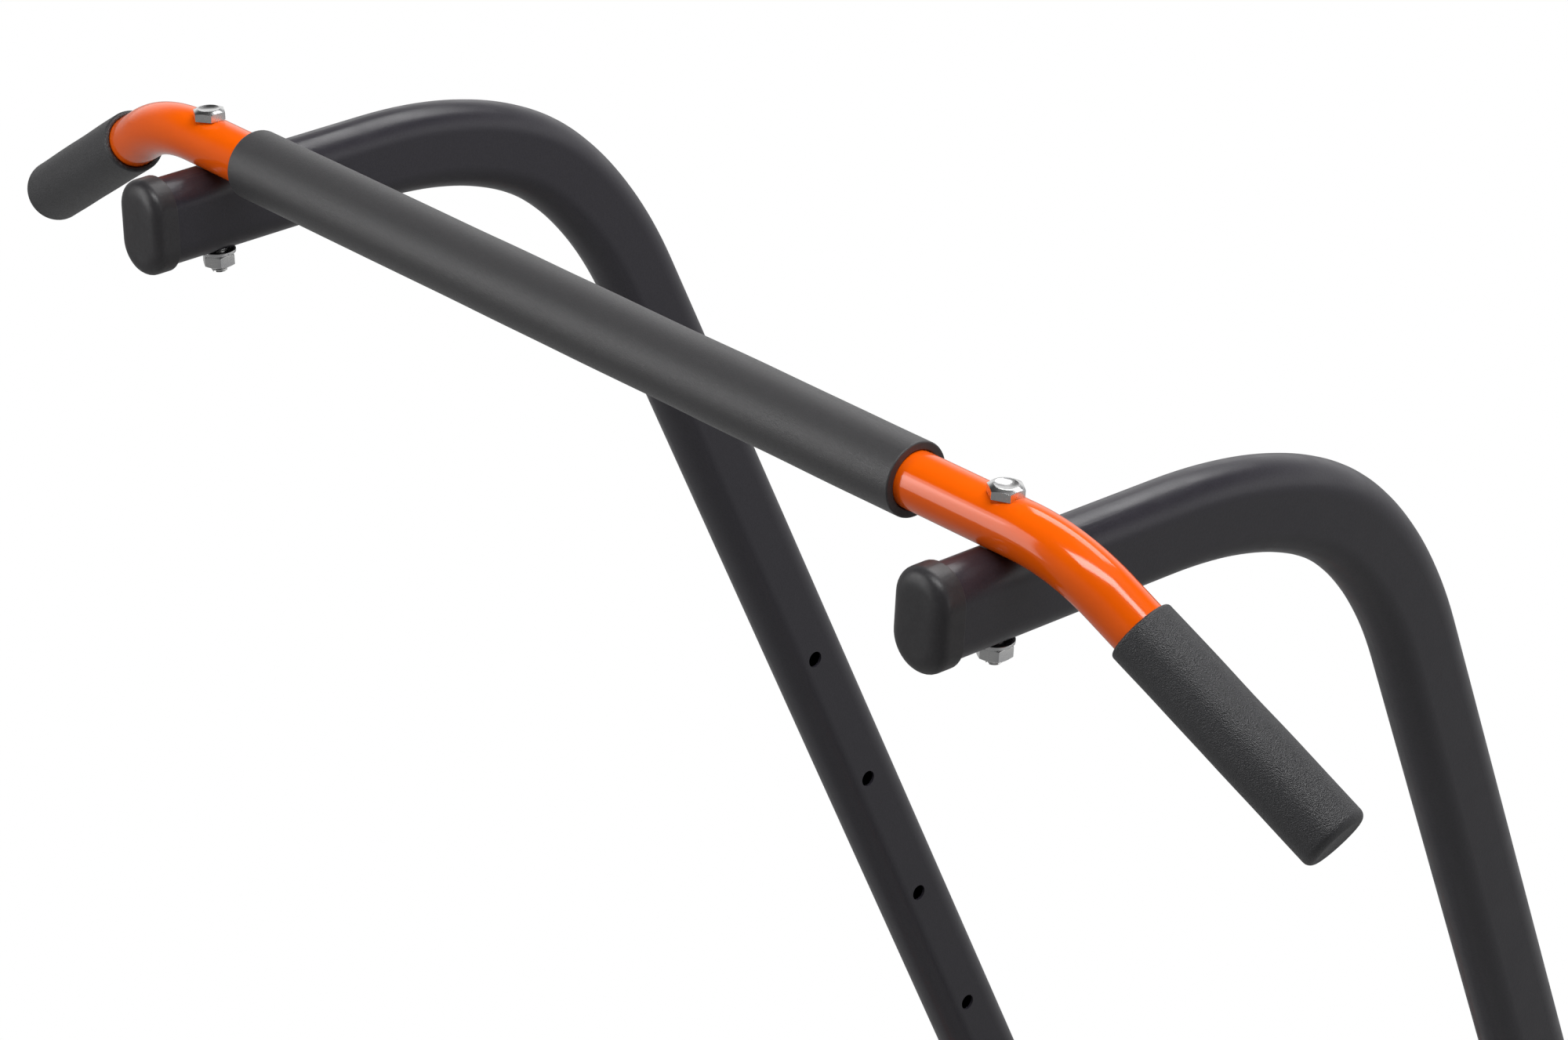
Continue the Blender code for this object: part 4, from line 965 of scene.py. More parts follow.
def uneven(mesh, amount, size, seed):
    """Move a mesh's points a little in and out, as soft foam has it."""
    for vertex in mesh.vertices:
        spot = vertex.co / size + Vector((seed, seed, seed))
        vertex.co += Vector((vertex.co.x, vertex.co.y, 0.0)).normalized() * amount * noise.noise(spot)


def make_centre_grip():
    """Long foam tube on the middle of the bar, its cut ends a little eased."""
    half = FOAM_LENGTH / 2
    rings = [(FOAM_DIAMETER / 2, half - FOAM_LENGTH * i / GRIP_RINGS) for i in range(GRIP_RINGS + 1)]
    profile = [(OVER_BAR, half)] + rings + [(OVER_BAR, -half)]
    mesh = lathe("centre_grip", eased(profile, FOAM_EDGE, steps=5, closed=True), closed=True)
    uneven(mesh, amount=0.00025, size=0.06, seed=CENTRE_GRIP_SEED)
    made = new_object("centre_grip", mesh, frame_on((FOAM_SHIFT, BAR_Y, BAR_HEIGHT), (1, 0, 0), (0, 1, 0)))
    dress(made, "centre_foam_grip", "frame", CENTRE_FOAM, sharp=50)


def grip_profile(length):
    """Closed foam grip from its round end to its open rim, with the bore for the tube."""
    outer, shoulder, end = END_GRIP_DIAMETER / 2, length - GRIP_ROUNDING, length - GRIP_END_WALL
    reach, depth = GRIP_DISH_POINT
    rounding = quarter_arc(GRIP_ROUNDING, GRIP_ROUNDING, steps=9)
    rim = quarter_arc(GRIP_RIM, GRIP_RIM, steps=6)
    profile = [(0.0, length - GRIP_DISH), (reach * outer, length - depth * GRIP_DISH)]
    profile += [(outer - inset, shoulder + rise) for inset, rise in reversed(rounding)]
    for i in range(1, CLOSED_GRIP_RINGS + 1):
        profile.append((outer, shoulder - (shoulder - GRIP_RIM) * i / CLOSED_GRIP_RINGS))
    profile += [(outer - inset, GRIP_RIM - rise) for inset, rise in rim[1:]]
    bore = [(OVER_BAR + GRIP_BORE_EDGE, 0.0), (OVER_BAR, GRIP_BORE_EDGE), (OVER_BAR, end), (0.0, end)]
    return profile + bore


def make_closed_grip(node, body, length, matrix, seed):
    """A grip with a closed end, pushed on a tube."""
    mesh = lathe("grip", grip_profile(length))
    uneven(mesh, amount=0.0003, size=0.035, seed=seed)
    made = new_object("grip", mesh, matrix)
    dress(made, node, body, GRIP_FOAM, sharp=50)


# Bolts, nuts and washers

def make_turned(node, profile, matrix, body, look, easing, closed=False):
    """A turned piece with eased edges."""
    mesh = lathe("turned", eased(profile, easing, closed=closed), closed=closed)
    dress(new_object("turned", mesh, matrix), node, body, look)


def thread_mesh(name, radius, pitch, low, high):
    """Closed rod with a helical thread, rounded off at its ends."""
    rows = max(4, round(THREAD_ROWS * (high - low) / pitch))
    depth = THREAD_DEPTH * pitch
    rings = []
    for row in range(rows + 1):
        height = low + (high - low) * row / rows
        from_end = min(height - low, high - height) / pitch
        end_ease = THREAD_END * depth * max(0.0, 1 - 2 * from_end)
        ring = []
        for i in range(THREAD_SIDES):
            angle = 2 * math.pi * i / THREAD_SIDES
            phase = (height / pitch - i / THREAD_SIDES) % 1.0
            reach = radius - THREAD_FORM * depth * (1 - abs(2 * phase - 1)) - end_ease
            ring.append(Vector((reach * math.cos(angle), reach * math.sin(angle), height)))
        rings.append(ring)
    return capped(name, rings)


def hexagon_mesh(name, flats, height):
    """Hexagon prism standing on z = 0."""
    bm = bmesh.new()
    radius = flats / math.sqrt(3)
    bmesh.ops.create_cone(bm, cap_ends=True, segments=6, radius1=radius, radius2=radius, depth=height,
                          matrix=Matrix.Translation((0, 0, height / 2)))
    return mesh_from(name, bm)


def make_hexagon(flats, height, matrix, both_ends=False, dish=0.0):
    """Hexagon head or nut with a round chamfer, on its far end or on both ends."""
    made = new_object("hexagon", hexagon_mesh("hexagon", flats, height), matrix)
    radius = flats / math.sqrt(3)
    corner = radius + BLANK_ROOM
    chamfer = 0.5 * (radius - flats / 2) + CHAMFER_ROOM
    blank = []
    for reach, dished, dropped in HEXAGON_FACE:
        blank.append((reach * flats, height - dished * dish - dropped * chamfer))
    blank.append((corner, height - HEXAGON_CORNER_DROP * chamfer))
    if both_ends:
        blank += [(corner, HEXAGON_FOOT_RISE * chamfer), (HEXAGON_FOOT_REACH * flats, 0.0), (0.0, 0.0)]
    else:
        blank += [(corner, 0.0), (0.0, 0.0)]
    combine(made, lathe("blank", blank, FINE_ROUND_STEPS), matrix, "INTERSECT")
    soften(made, HEXAGON_EDGE, segments=3, angle=25)
    return made


def make_bar_bolt(label, side):
    """Hexagon bolt down through the bar and the arm, its threaded tip past the nut."""
    seat, radius = OVER_BAR + HEAD_ROOM, BAR_BOLT_DIAMETER / 2
    low = ARM_BOTTOM - 2 * GAP - WASHER_THICKNESS - BAR_NUT_HEIGHT - BAR_BOLT_TIP
    at = side_frame(side)
    sunk = at @ Matrix.Translation((0, 0, seat - HEAD_SINK))
    made = make_hexagon(BAR_BOLT_FLATS, BAR_BOLT_HEAD - HEAD_SINK / 2, sunk, dish=HEAD_DISH)
    join(made, rods_mesh("shank", [((0, 0, seat + SHANK_OVERLAP), (0, 0, ARM_BOTTOM), radius)]), at)
    join(made, thread_mesh("thread", radius, BAR_BOLT_PITCH, low, ARM_BOTTOM + BAR_THREAD_OVERLAP), at)
    dress(made, "bar_bolt_" + label, "frame", BRIGHT_STEEL)


def make_bar_washer(label, side):
    """Plain pressed washer under the arm."""
    outer, top = WASHER_DIAMETER / 2, ARM_BOTTOM - GAP
    low = top - WASHER_THICKNESS
    profile = [(BAR_BOLT_HOLE, top), (outer, top), (outer, low), (BAR_BOLT_HOLE, low)]
    at = side_frame(side)
    make_turned("bar_washer_" + label, profile, at, "frame", WASHER_STEEL, WASHER_EDGE, closed=True)


def make_bar_nut(label, side):
    """Hexagon nut under the washer."""
    top = ARM_BOTTOM - 2 * GAP - WASHER_THICKNESS
    at = side_frame(side) @ frame_on((0, 0, top), (0, 0, -1), (1, 0, 0))
    made = make_hexagon(BAR_BOLT_FLATS, BAR_NUT_HEIGHT, at, both_ends=True)
    drill(made, [short_rod(0, 0, 0, BAR_BOLT_HOLE)], at)
    dress(made, "bar_nut_" + label, "frame", BRIGHT_STEEL)


def make_frame_bolt(node, stack, matrix, body="frame", look=DARK_STEEL):
    """Button-head bolt with its nut run home: head below z = 0, nut above z = stack."""
    shank, head = FRAME_BOLT_DIAMETER / 2, FRAME_BOLT_HEAD_DIAMETER / 2
    nut_seat = stack + GAP
    tip = nut_seat + FRAME_NUT_HEIGHT + FRAME_BOLT_TIP
    dome = [(head - inset, -GAP - rise) for inset, rise in quarter_arc(head, FRAME_BOLT_HEAD, steps=8)]
    profile = [(0.0, nut_seat), (shank, nut_seat), (shank, -GAP)] + dome
    made = new_object("frame_bolt", lathe("frame_bolt", profile), matrix)
    key = matrix @ Matrix.Translation((0, 0, -GAP - FRAME_BOLT_HEAD - KEY_OVERLAP))
    cut(made, hexagon_mesh("key", KEY_FLATS, KEY_HEIGHT), key)
    join(made, thread_mesh("thread", shank, FRAME_BOLT_PITCH, nut_seat - FRAME_THREAD_OVERLAP, tip), matrix)
    nut = make_hexagon(FRAME_NUT_FLATS, FRAME_NUT_HEIGHT, matrix @ Matrix.Translation((0, 0, nut_seat)))
    join(made, nut.data, nut.matrix_world.copy())
    bpy.data.objects.remove(nut)
    dress(made, node, body, look)


# Floor frame

def make_square_tube(node, length, matrix, spots):
    """Square tube drilled upright at each spot (x, y) for its bolts."""
    mesh = straight_tube("square_tube", (RAIL_SIZE, RAIL_SIZE), RAIL_CORNER, RAIL_WALL, length)
    made = new_object("square_tube", mesh, matrix)
    low, high = matrix.translation.z - RAIL_SIZE, matrix.translation.z + RAIL_SIZE
    drill(made, [((x, y, low), (x, y, high), FRAME_BOLT_HOLE) for x, y in spots])
    soften(made, RAIL_EDGE)
    dress(made, node, "frame", BLACK_PAINT)


def make_side_rail(label, side):
    """Floor rail from front to back under one upright."""
    x = side * FOOT_X
    length = 2 * (BASE_HALF - PLUG_FLANGE - GAP)
    spots = [(x, y) for y in (FRONT_Y, BRACE_FOOT_BOLT_Y, FOOT_BOLT_Y, REAR_Y)]
    make_square_tube("side_rail_" + label, length, frame_on((x, 0, RAIL_MID), (0, 1, 0), (1, 0, 0)), spots)


def make_stabiliser(node, y):
    """Cross tube on the floor, under the ends of both rails."""
    length = BASE_WIDTH - 2 * (SHOE_WALL + GAP)
    spots = [(side * FOOT_X, y) for side in SIDES.values()]
    make_square_tube(node, length, frame_on((0, y, STABILISER_MID), (1, 0, 0), (0, 1, 0)), spots)


def make_shoe(node, side, y):
    """Rubber shoe over the end of a stabiliser, with a thick flat sole and grooves across it."""
    pocket = RAIL_SIZE + 2 * GAP
    top = STABILISER_MID + pocket / 2 + SHOE_WALL
    middle = BASE_WIDTH / 2 - SHOE_LENGTH / 2
    outline = rounded_rectangle(pocket + 2 * SHOE_WALL, top, SHOE_CORNER)
    outside = frame_on((side * middle, y, top / 2), (-side, 0, 0), (0, 1, 0))
    inside = frame_on((side * (middle - SHOE_WALL), y, STABILISER_MID), (-side, 0, 0), (0, 1, 0))
    made = new_object("shoe", prism("shoe", outline, SHOE_LENGTH), outside)
    soften(made, SHOE_EDGE, segments=4, angle=60)
    cut(made, prism("pocket", rounded_rectangle(pocket, pocket, RAIL_CORNER + GAP), SHOE_LENGTH), inside)
    for i in range(GROOVE_COUNT):
        x = BASE_WIDTH / 2 - GROOVE_START - GROOVE_PITCH * i
        cut(made, box_mesh("groove", GROOVE_SIZE), Matrix.Translation((side * x, y, 0.0)))
    dress(made, node, "frame", BLACK_RUBBER)


def make_rail_plug(node, side, end):
    """Plastic plug in the end of a rail: a crowned flange outside and a body inside the tube."""
    body = RAIL_SIZE - 2 * RAIL_WALL - 2 * GAP
    sections = [(body - PLUG_LEAD_WIDTH, -PLUG_DEPTH), (body, PLUG_LEAD_LENGTH - PLUG_DEPTH), (body, 0.0),
                (RAIL_SIZE - PLUG_EDGE_WIDTH, 0.0), (RAIL_SIZE, PLUG_EDGE_HEIGHT)]
    crown = quarter_arc(PLUG_CROWN_REACH, PLUG_FLANGE - PLUG_CROWN_START, steps=6)
    sections += [(RAIL_SIZE - inset, PLUG_CROWN_START + rise) for inset, rise in crown]
    rings = []
    for size, height in sections:
        corner = max(PLUG_LEAST_CORNER, RAIL_CORNER - (RAIL_SIZE - size) / 2)
        rings.append(level_ring(rounded_rectangle(size, size, corner), height))
    place = (side * FOOT_X, end * (BASE_HALF - PLUG_FLANGE), RAIL_MID)
    made = new_object("plug", capped("plug", rings), frame_on(place, (0, end, 0), (1, 0, 0)))
    dress(made, node, "frame", BLACK_PLASTIC)


def make_brace(label, side):
    """Diagonal tube with a plate on the rail and a plate on the front face of the leg."""
    x = side * FOOT_X
    leg = side_frame(side) @ leg_frame(BRACE_DISTANCE)
    plate_mid = -TUBE_DEPTH / 2 - GAP - BRACE_PLATE[2] / 2
    upper = leg @ Vector((0, plate_mid, 0))
    lower = Vector((x, BRACE_FOOT_Y, PLATE_BOTTOM + BRACE_PLATE[2] / 2))
    run = upper - lower
    at = frame_on((upper + lower) / 2, run, leaning(side).to_3x3() @ Vector((1, 0, 0)))
    size, length = (BRACE_WIDTH, BRACE_DEPTH), run.length + 2 * BRACE_OVERRUN
    made = new_object("brace", straight_tube("brace", size, BRACE_CORNER, BRACE_WALL, length), at)
    trim(made, BRACE_TRIM, Matrix.Translation(lower - Vector((0, 0, BRACE_TRIM))))
    trim(made, BRACE_TRIM, leg @ Matrix.Translation((0, BRACE_TRIM + plate_mid, 0)))
    on_leg = leg @ frame_on((0, plate_mid, 0), (0, 1, 0), (1, 0, 0))
    for place in (Matrix.Translation(lower), on_leg):
        join(made, plate_mesh(BRACE_PLATE, BRACE_PLATE_CORNER, steps=5), place)
    leg_bolt = [leg @ Vector((0, y, BRACE_BOLT_OFFSET)) for y in (-TUBE_DEPTH, 0)]
    vent = [at @ Vector((0, y, VENT_PLACE)) for y in (0, BRACE_DEPTH)]
    drill(made, [(*leg_bolt, FRAME_BOLT_HOLE), short_rod(x, BRACE_FOOT_BOLT_Y, RAIL_TOP, FRAME_BOLT_HOLE),
                 (*vent, VENT_DIAMETER / 2)])
    soften(made, WELDED_EDGE)
    dress(made, "brace_" + label, "frame", BLACK_PAINT)


def make_frame_bolts(label, side):
    """The bolts of one side: rail to stabilisers, upright to rail, brace to rail and to leg."""
    x = side * FOOT_X
    plate = GAP + FOOT_PLATE[2]
    low_seat = RAIL_MID - RAIL_SIZE / 2
    bottom = STABILISER_MID - RAIL_SIZE / 2
    spots = [("front_rail_bolt", FRONT_Y, bottom, RAIL_TOP),
             ("brace_foot_bolt", BRACE_FOOT_BOLT_Y, low_seat, RAIL_TOP + GAP + BRACE_PLATE[2]),
             ("foot_bolt", FOOT_BOLT_Y, low_seat, RAIL_TOP + plate),
             ("rear_rail_bolt", REAR_Y, bottom, RAIL_TOP + plate)]
    for kind, y, low, high in spots:
        make_frame_bolt(kind + "_" + label, high - low, Matrix.Translation((x, y, low)))
    leg = side_frame(side) @ leg_frame(BRACE_DISTANCE)
    place = leg @ frame_on((0, TUBE_DEPTH / 2, BRACE_BOLT_OFFSET), (0, -1, 0), (1, 0, 0))
    make_frame_bolt("brace_leg_bolt_" + label, TUBE_DEPTH + GAP + BRACE_PLATE[2], place)


# Dip arms

def gusset_outline():
    """The gusset between a sleeve and its socket, as (y, z) pairs in the sleeve's frame."""
    face = GUSSET_OVERLAP - TUBE_DEPTH / 2 - SLEEVE_OUTER
    y = -GUSSET_REACH * math.sin(BEND_ANGLE)
    z = GUSSET_REACH * math.cos(BEND_ANGLE) - SOCKET_DROP - GUSSET_DROP
    in_tip, down_tip = GUSSET_TIP
    return [(face, GUSSET_RISE - SLEEVE_LENGTH / 2), (face, 0.0), (y, z), (y + in_tip, z - down_tip)]


def make_sleeve(label, side):
    """Welded sleeve: rounded tube round the leg, a socket for the dip arm and a gusset under it."""
    at, arm = dip_frame(side), arm_frame(side)
    upright_plane = at @ frame_on((0, 0, 0), (1, 0, 0), (0, 1, 0))
    made = new_object("sleeve", prism("sleeve", grown_outline(SLEEVE_OUTER), SLEEVE_LENGTH), at)
    socket = [((0, 0, 0), (0, 0, SOCKET_REACH), SOCKET_DIAMETER / 2)]
    join(made, rods_mesh("socket", socket, FINE_ROUND_STEPS), arm)
    join(made, prism("gusset", gusset_outline(), GUSSET_THICKNESS), upright_plane)
    cut(made, prism("bore", grown_outline(FIT), SLEEVE_LENGTH + BORE_OVERRUN), at)
    bore = ((0, 0, SOCKET_FLOOR), (0, 0, SOCKET_REACH + SOCKET_OVERRUN), OVER_BAR)
    drill(made, [bore], arm, FINE_ROUND_STEPS)
    drill(made, [DIP_BOLT_ROD], arm)
    drill(made, [((0, 0, 0), (0, 0, NECK_DRILL), NECK_DIAMETER / 2 + HOLE_CLEARANCE)], pin_frame(side))
    soften(made, WELDED_EDGE)
    dress(made, "dip_sleeve_" + label, label + "_dip", BLACK_PAINT)


def make_liner(label, side, end):
    """Plastic liner in one end of a sleeve, with a flange over the sleeve's edge."""
    body, edge = GAP + LINER_WALL, SLEEVE_LENGTH / 2 + GAP
    top = edge + LINER_FLANGE
    outer = [(body, edge - LINER_LENGTH), (body, edge), (SLEEVE_OUTER, edge)]
    for inset, rise in quarter_arc(LINER_ROUNDING, LINER_ROUNDING, steps=6):
        outer.append((SLEEVE_OUTER - inset, top - LINER_ROUNDING + rise))
    inner = [(GAP, edge - LINER_LENGTH), (GAP, top - LINER_EDGE), (GAP + LINER_EDGE, top)]
    skins = [[cap_ring(grow, height) for grow, height in levels] for levels in (outer, inner)]
    flip = Matrix() if end > 0 else Matrix.Rotation(math.pi, 4, "X")
    made = new_object("liner", shell("liner", *skins), dip_frame(side) @ flip)
    node = ("upper_liner_" if end > 0 else "lower_liner_") + label
    dress(made, node, label + "_dip", BLACK_PLASTIC)


def make_dip_arm(label, side):
    """Level round tube from inside the socket to inside the grip."""
    heights = [SOCKET_FLOOR + GAP + DIP_ARM_LENGTH * i / DIP_ARM_PIECES for i in range(DIP_ARM_PIECES + 1)]
    mesh = bar_tube("dip_arm", [Vector((0, 0, height)) for height in heights])
    made = new_object("dip_arm", mesh, arm_frame(side))
    drill(made, [DIP_BOLT_ROD], arm_frame(side))
    dress(made, "dip_arm_" + label, label + "_dip", ORANGE_PAINT)


def dip_grip_place(side):
    """Where the grip of a dip arm starts."""
    end = SOCKET_FLOOR + GAP + DIP_ARM_LENGTH
    return arm_frame(side) @ Matrix.Translation((0, 0, end + GRIP_END_WALL + GAP - DIP_GRIP_LENGTH))


def make_dip_bolt(label, side):
    """Upright bolt through the socket and the arm, head on top."""
    place = arm_frame(side) @ frame_on((SOCKET_DIAMETER / 2, 0, DIP_BOLT_REACH), (-1, 0, 0), (0, 0, 1))
    make_frame_bolt("dip_bolt_" + label, SOCKET_DIAMETER, place, label + "_dip", BRIGHT_STEEL)


# Pull pins

def make_pin_housing(label, side):
    """Turned housing screwed into the sleeve, with a spring chamber inside."""
    neck, flange, body = NECK_DIAMETER / 2, FLANGE_DIAMETER / 2, HOUSING_DIAMETER / 2
    bore, chamber, mouth = PIN_DIAMETER / 2 + GAP, CHAMBER_DIAMETER / 2, STEM_DIAMETER / 2 + GAP
    seat, start = SLEEVE_OUTER + GAP, FIT + GAP
    profile = [(mouth, HOUSING_TOP), (body, HOUSING_TOP), (body, seat + FLANGE_THICKNESS),
               (flange, seat + FLANGE_THICKNESS), (flange, seat), (neck, seat), (neck, start), (bore, start),
               (bore, CHAMBER_FLOOR), (chamber, CHAMBER_FLOOR), (chamber, CHAMBER_TOP), (mouth, CHAMBER_TOP)]
    at = pin_frame(side)
    make_turned("pin_housing_" + label, profile, at, label + "_dip", BRIGHT_STEEL, HOUSING_EDGE, closed=True)


def make_pin(label, side):
    """Steel pin with a chamfered tip, a collar that the spring pushes on, and a stem for the knob."""
    pin, collar, stem = PIN_DIAMETER / 2, COLLAR_DIAMETER / 2, STEM_DIAMETER / 2
    floor = CHAMBER_FLOOR + GAP
    chamfer, run = PIN_CHAMFER
    profile = [(0.0, STEM_TOP), (stem, STEM_TOP), (stem, floor + COLLAR_THICKNESS),
               (collar, floor + COLLAR_THICKNESS), (collar, floor), (pin, floor), (pin, PIN_TIP + run),
               (pin - chamfer, PIN_TIP), (0.0, PIN_TIP)]
    make_turned("pull_pin_" + label, profile, pin_frame(side), label + "_pin", BRIGHT_STEEL, PIN_EDGE)


def make_knob(label, side):
    """Mushroom knob on the stem."""
    low, radius, bore = HOUSING_TOP + KNOB_GAP, KNOB_DIAMETER / 2, STEM_DIAMETER / 2 + GAP
    profile = [(share * radius, low + KNOB_HEIGHT - depth) for share, depth in KNOB_HEAD]
    profile += [(KNOB_FOOT * radius, low), (bore, low), (bore, STEM_TOP + GAP), (0.0, STEM_TOP + GAP)]
    make_turned("pin_knob_" + label, profile, pin_frame(side), label + "_pin", BLACK_PLASTIC, KNOB_EDGE)


def make_spring(label, side):
    """Compression spring between collar and housing, drawn at the length it has when pulled."""
    pitch, radius = SPRING_WIRE + SPRING_GAP, SPRING_DIAMETER / 2
    low = CHAMBER_TOP - GAP - SPRING_TURNS * pitch - SPRING_WIRE / 2
    points = []
    for i in range(SPRING_TURNS * SPRING_STEPS + 1):
        angle = 2 * math.pi * i / SPRING_STEPS
        points.append((radius * math.cos(angle), radius * math.sin(angle), low + pitch * i / SPRING_STEPS))
    mesh = capped("spring", tube_rings(points, SPRING_WIRE / 2, WIRE_SIDES))
    dress(new_object("spring", mesh, pin_frame(side)), "pin_spring_" + label, label + "_dip", BRIGHT_STEEL)


def make_dip_side(label, side):
    """One sliding dip arm with its sprung pull pin."""
    make_sleeve(label, side)
    for end in (1, -1):
        make_liner(label, side, end)
    make_dip_arm(label, side)
    place = dip_grip_place(side)
    make_closed_grip("dip_grip_" + label, label + "_dip", DIP_GRIP_LENGTH, place, DIP_GRIP_SEED + side)
    make_dip_bolt(label, side)
    make_pin_housing(label, side)
    make_spring(label, side)
    make_pin(label, side)
    make_knob(label, side)


def make_station():
    """Every piece of the station."""
    make_bar()
    make_centre_grip()
    make_stabiliser("front_stabiliser", FRONT_Y)
    make_stabiliser("rear_stabiliser", REAR_Y)
    for label, side in SIDES.items():
        make_upright(label, side)
        make_cap(label, side)
        grip_place = bar_end_frame(side) @ Matrix.Translation((0, 0, END_GRIP_START))
        make_closed_grip("end_grip_" + label, "frame", END_GRIP_LENGTH, grip_place, END_GRIP_SEED + side)
        make_bar_bolt(label, side)
        make_bar_washer(label, side)
        make_bar_nut(label, side)
        make_side_rail(label, side)
        make_brace(label, side)
        make_shoe("front_shoe_" + label, side, FRONT_Y)
        make_shoe("rear_shoe_" + label, side, REAR_Y)
        make_rail_plug("front_rail_plug_" + label, side, -1)
        make_rail_plug("rear_rail_plug_" + label, side, 1)
        make_frame_bolts(label, side)
        make_dip_side(label, side)


# Studio

def make_camera():
    """The photograph's view: over the near side, down on the bar."""
    flat = Vector((-math.sin(CAMERA_HEADING), math.cos(CAMERA_HEADING), 0))
    forward = flat * math.cos(CAMERA_PITCH) + Vector((0, 0, math.sin(CAMERA_PITCH)))
    level = forward.cross(Vector((0, 0, 1))).normalized()
    right = Matrix.Rotation(-CAMERA_ROLL, 3, forward) @ level
    up = right.cross(forward)
    turn = Matrix((right, up, -forward)).transposed().to_4x4()
    place = BAR_MIDDLE + Vector(CAMERA_OFFSET)
    data = bpy.data.cameras.new("camera")
    data.lens = CAMERA_LENS
    data.sensor_width = CAMERA_SENSOR
    data.clip_end = CAMERA_REACH
    made = bpy.data.objects.new("camera", data)
    made.matrix_world = Matrix.Translation(place) @ turn
    bpy.context.scene.collection.objects.link(made)
    bpy.context.scene.camera = made
    bpy.context.scene.view_settings.view_transform = "Standard"


class Graph:
    """Short calls that add nodes to a material's or a world's tree."""

    def __init__(self, tree):
        self.nodes, self.links = tree.nodes, tree.links

    def feed(self, socket, value):
        """Give a socket a number or a link."""
        if isinstance(value, float):
            socket.default_value = value
        else:
            self.links.new(value, socket)

    def product(self, first, second):
        """Multiply two values."""
        node = self.nodes.new("ShaderNodeMath")
        node.operation = "MULTIPLY"
        self.feed(node.inputs[0], first)
        self.feed(node.inputs[1], second)
        return node.outputs[0]

    def ease(self, value, start, end, low, high):
        """Go smoothly from low to high while the value goes from start to end."""
        node = self.nodes.new("ShaderNodeMapRange")
        node.interpolation_type = "SMOOTHSTEP"
        limits = (("From Min", start), ("From Max", end), ("To Min", low), ("To Max", high))
        for socket, number in (("Value", value), *limits):
            self.feed(node.inputs[socket], number)
        return node.outputs["Result"]

    def by_ray(self, camera, mirrored, other):
        """One value for the camera, one for what gloss and glass show, and one for all other light."""
        path = self.nodes.new("ShaderNodeLightPath")
        node = self.nodes.new("ShaderNodeMath")
        node.operation = "MAXIMUM"
        self.links.new(path.outputs["Is Glossy Ray"], node.inputs[0])
        self.links.new(path.outputs["Is Transmission Ray"], node.inputs[1])
        indirect = self.ease(node.outputs[0], 0.0, 1.0, other, mirrored)
        return self.ease(path.outputs["Is Camera Ray"], 0.0, 1.0, indirect, camera)

    def place(self, kind):
        """The X, Y and Z of a texture coordinate."""
        split = self.nodes.new("ShaderNodeSeparateXYZ")
        self.links.new(self.nodes.new("ShaderNodeTexCoord").outputs[kind], split.inputs["Vector"])
        return split.outputs["X"], split.outputs["Y"], split.outputs["Z"]

    def distance(self, kind):
        """How far a texture coordinate is from its origin."""
        length = self.nodes.new("ShaderNodeVectorMath")
        length.operation = "LENGTH"
        self.links.new(self.nodes.new("ShaderNodeTexCoord").outputs[kind], length.inputs[0])
        return length.outputs["Value"]


def softbox(name, heading, distance, size, brightness, gloss):
    """Area light seen from the bar in a direction, with its wide side level."""
    away = Vector(heading).normalized()
    data = bpy.data.lights.new(name, "AREA")
    data.shape = "RECTANGLE"
    data.size, data.size_y = size
    data.energy = brightness * SOFTBOX_POWER * size[0] * size[1]
    made = bpy.data.objects.new(name, data)
    made.matrix_world = frame_on(BAR_MIDDLE + away * distance, away, Vector((0, 0, 1)).cross(away))
    made.visible_glossy = gloss
    bpy.context.scene.collection.objects.link(made)


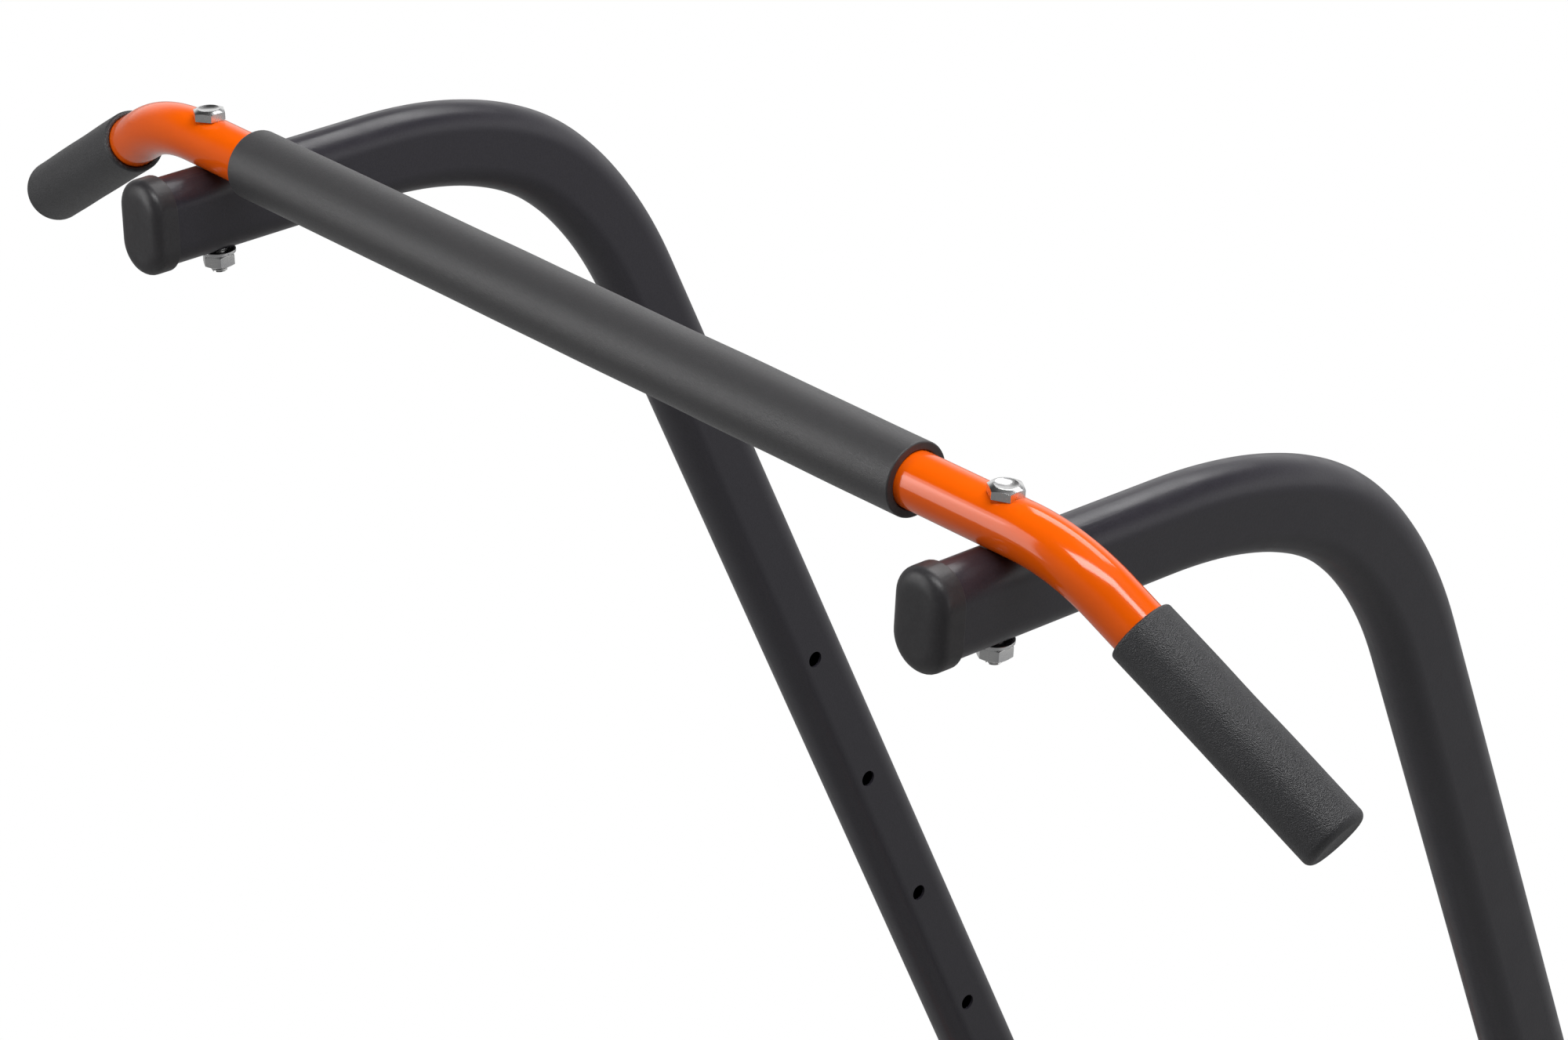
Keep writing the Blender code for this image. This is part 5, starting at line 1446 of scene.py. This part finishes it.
def make_world():
    """White behind the station; gloss shows the dark half of the room and its ceiling too."""
    world = bpy.data.worlds.new("studio")
    world.use_nodes = True
    bpy.context.scene.world = world
    graph = Graph(world.node_tree)
    _, back, up = graph.place("Generated")
    side = graph.ease(back, ROOM_START, ROOM_END, ROOM_LEVEL, 1.0)
    ceiling = graph.ease(up, CEILING_START, CEILING_END, 1.0, CEILING_LEVEL)
    level = graph.by_ray(1.0, graph.product(side, ceiling), WORLD_FILL)
    background = graph.nodes["Background"]
    graph.feed(background.inputs["Strength"], level)
    background.inputs["Color"].default_value = (1.0, 1.0, 1.0, 1.0)


def make_floor():
    """Pale floor that keeps the shadow near the station and runs out to white."""
    bm = bmesh.new()
    bmesh.ops.create_grid(bm, x_segments=8, y_segments=8, size=FLOOR_HALF)
    made = new_object("floor", mesh_from("floor", bm), Matrix())
    material = bpy.data.materials.new("pale_floor")
    material.use_nodes = True
    graph = Graph(material.node_tree)
    shader = graph.nodes["Principled BSDF"]
    shader.inputs["Base Color"].default_value = (FLOOR_GREY, FLOOR_GREY, FLOOR_GREY, 1.0)
    shader.inputs["Roughness"].default_value = FLOOR_ROUGHNESS
    shader.inputs["Specular IOR Level"].default_value = 0.0
    _, back, _ = graph.place("Object")
    away = graph.distance("Object")
    side = graph.ease(back, FLOOR_DARK_Y, FLOOR_WHITE_Y, ROOM_LEVEL, FLOOR_MIRRORED)
    glow = graph.nodes.new("ShaderNodeEmission")
    graph.feed(glow.inputs["Strength"], graph.by_ray(1.0, side, 0.0))
    graph.feed(shader.inputs["Emission Strength"], graph.by_ray(FLOOR_LIFT, 0.0, 0.0))
    mix = graph.nodes.new("ShaderNodeMixShader")
    seen = graph.ease(away, SHADOW_NEAR, SHADOW_FAR, 0.0, 1.0)
    mirrored = graph.ease(away, MIRRORED_NEAR, MIRRORED_FAR, 0.0, 1.0)
    graph.feed(mix.inputs["Fac"], graph.by_ray(seen, mirrored, 0.0))
    graph.links.new(shader.outputs["BSDF"], mix.inputs[1])
    graph.links.new(glow.outputs["Emission"], mix.inputs[2])
    graph.links.new(mix.outputs["Shader"], graph.nodes["Material Output"].inputs["Surface"])
    made.data.materials.append(material)


def make_studio():
    """World, floor and softboxes."""
    make_world()
    make_floor()
    for row in SOFTBOXES:
        softbox(*row)


make_camera()
make_station()
make_studio()
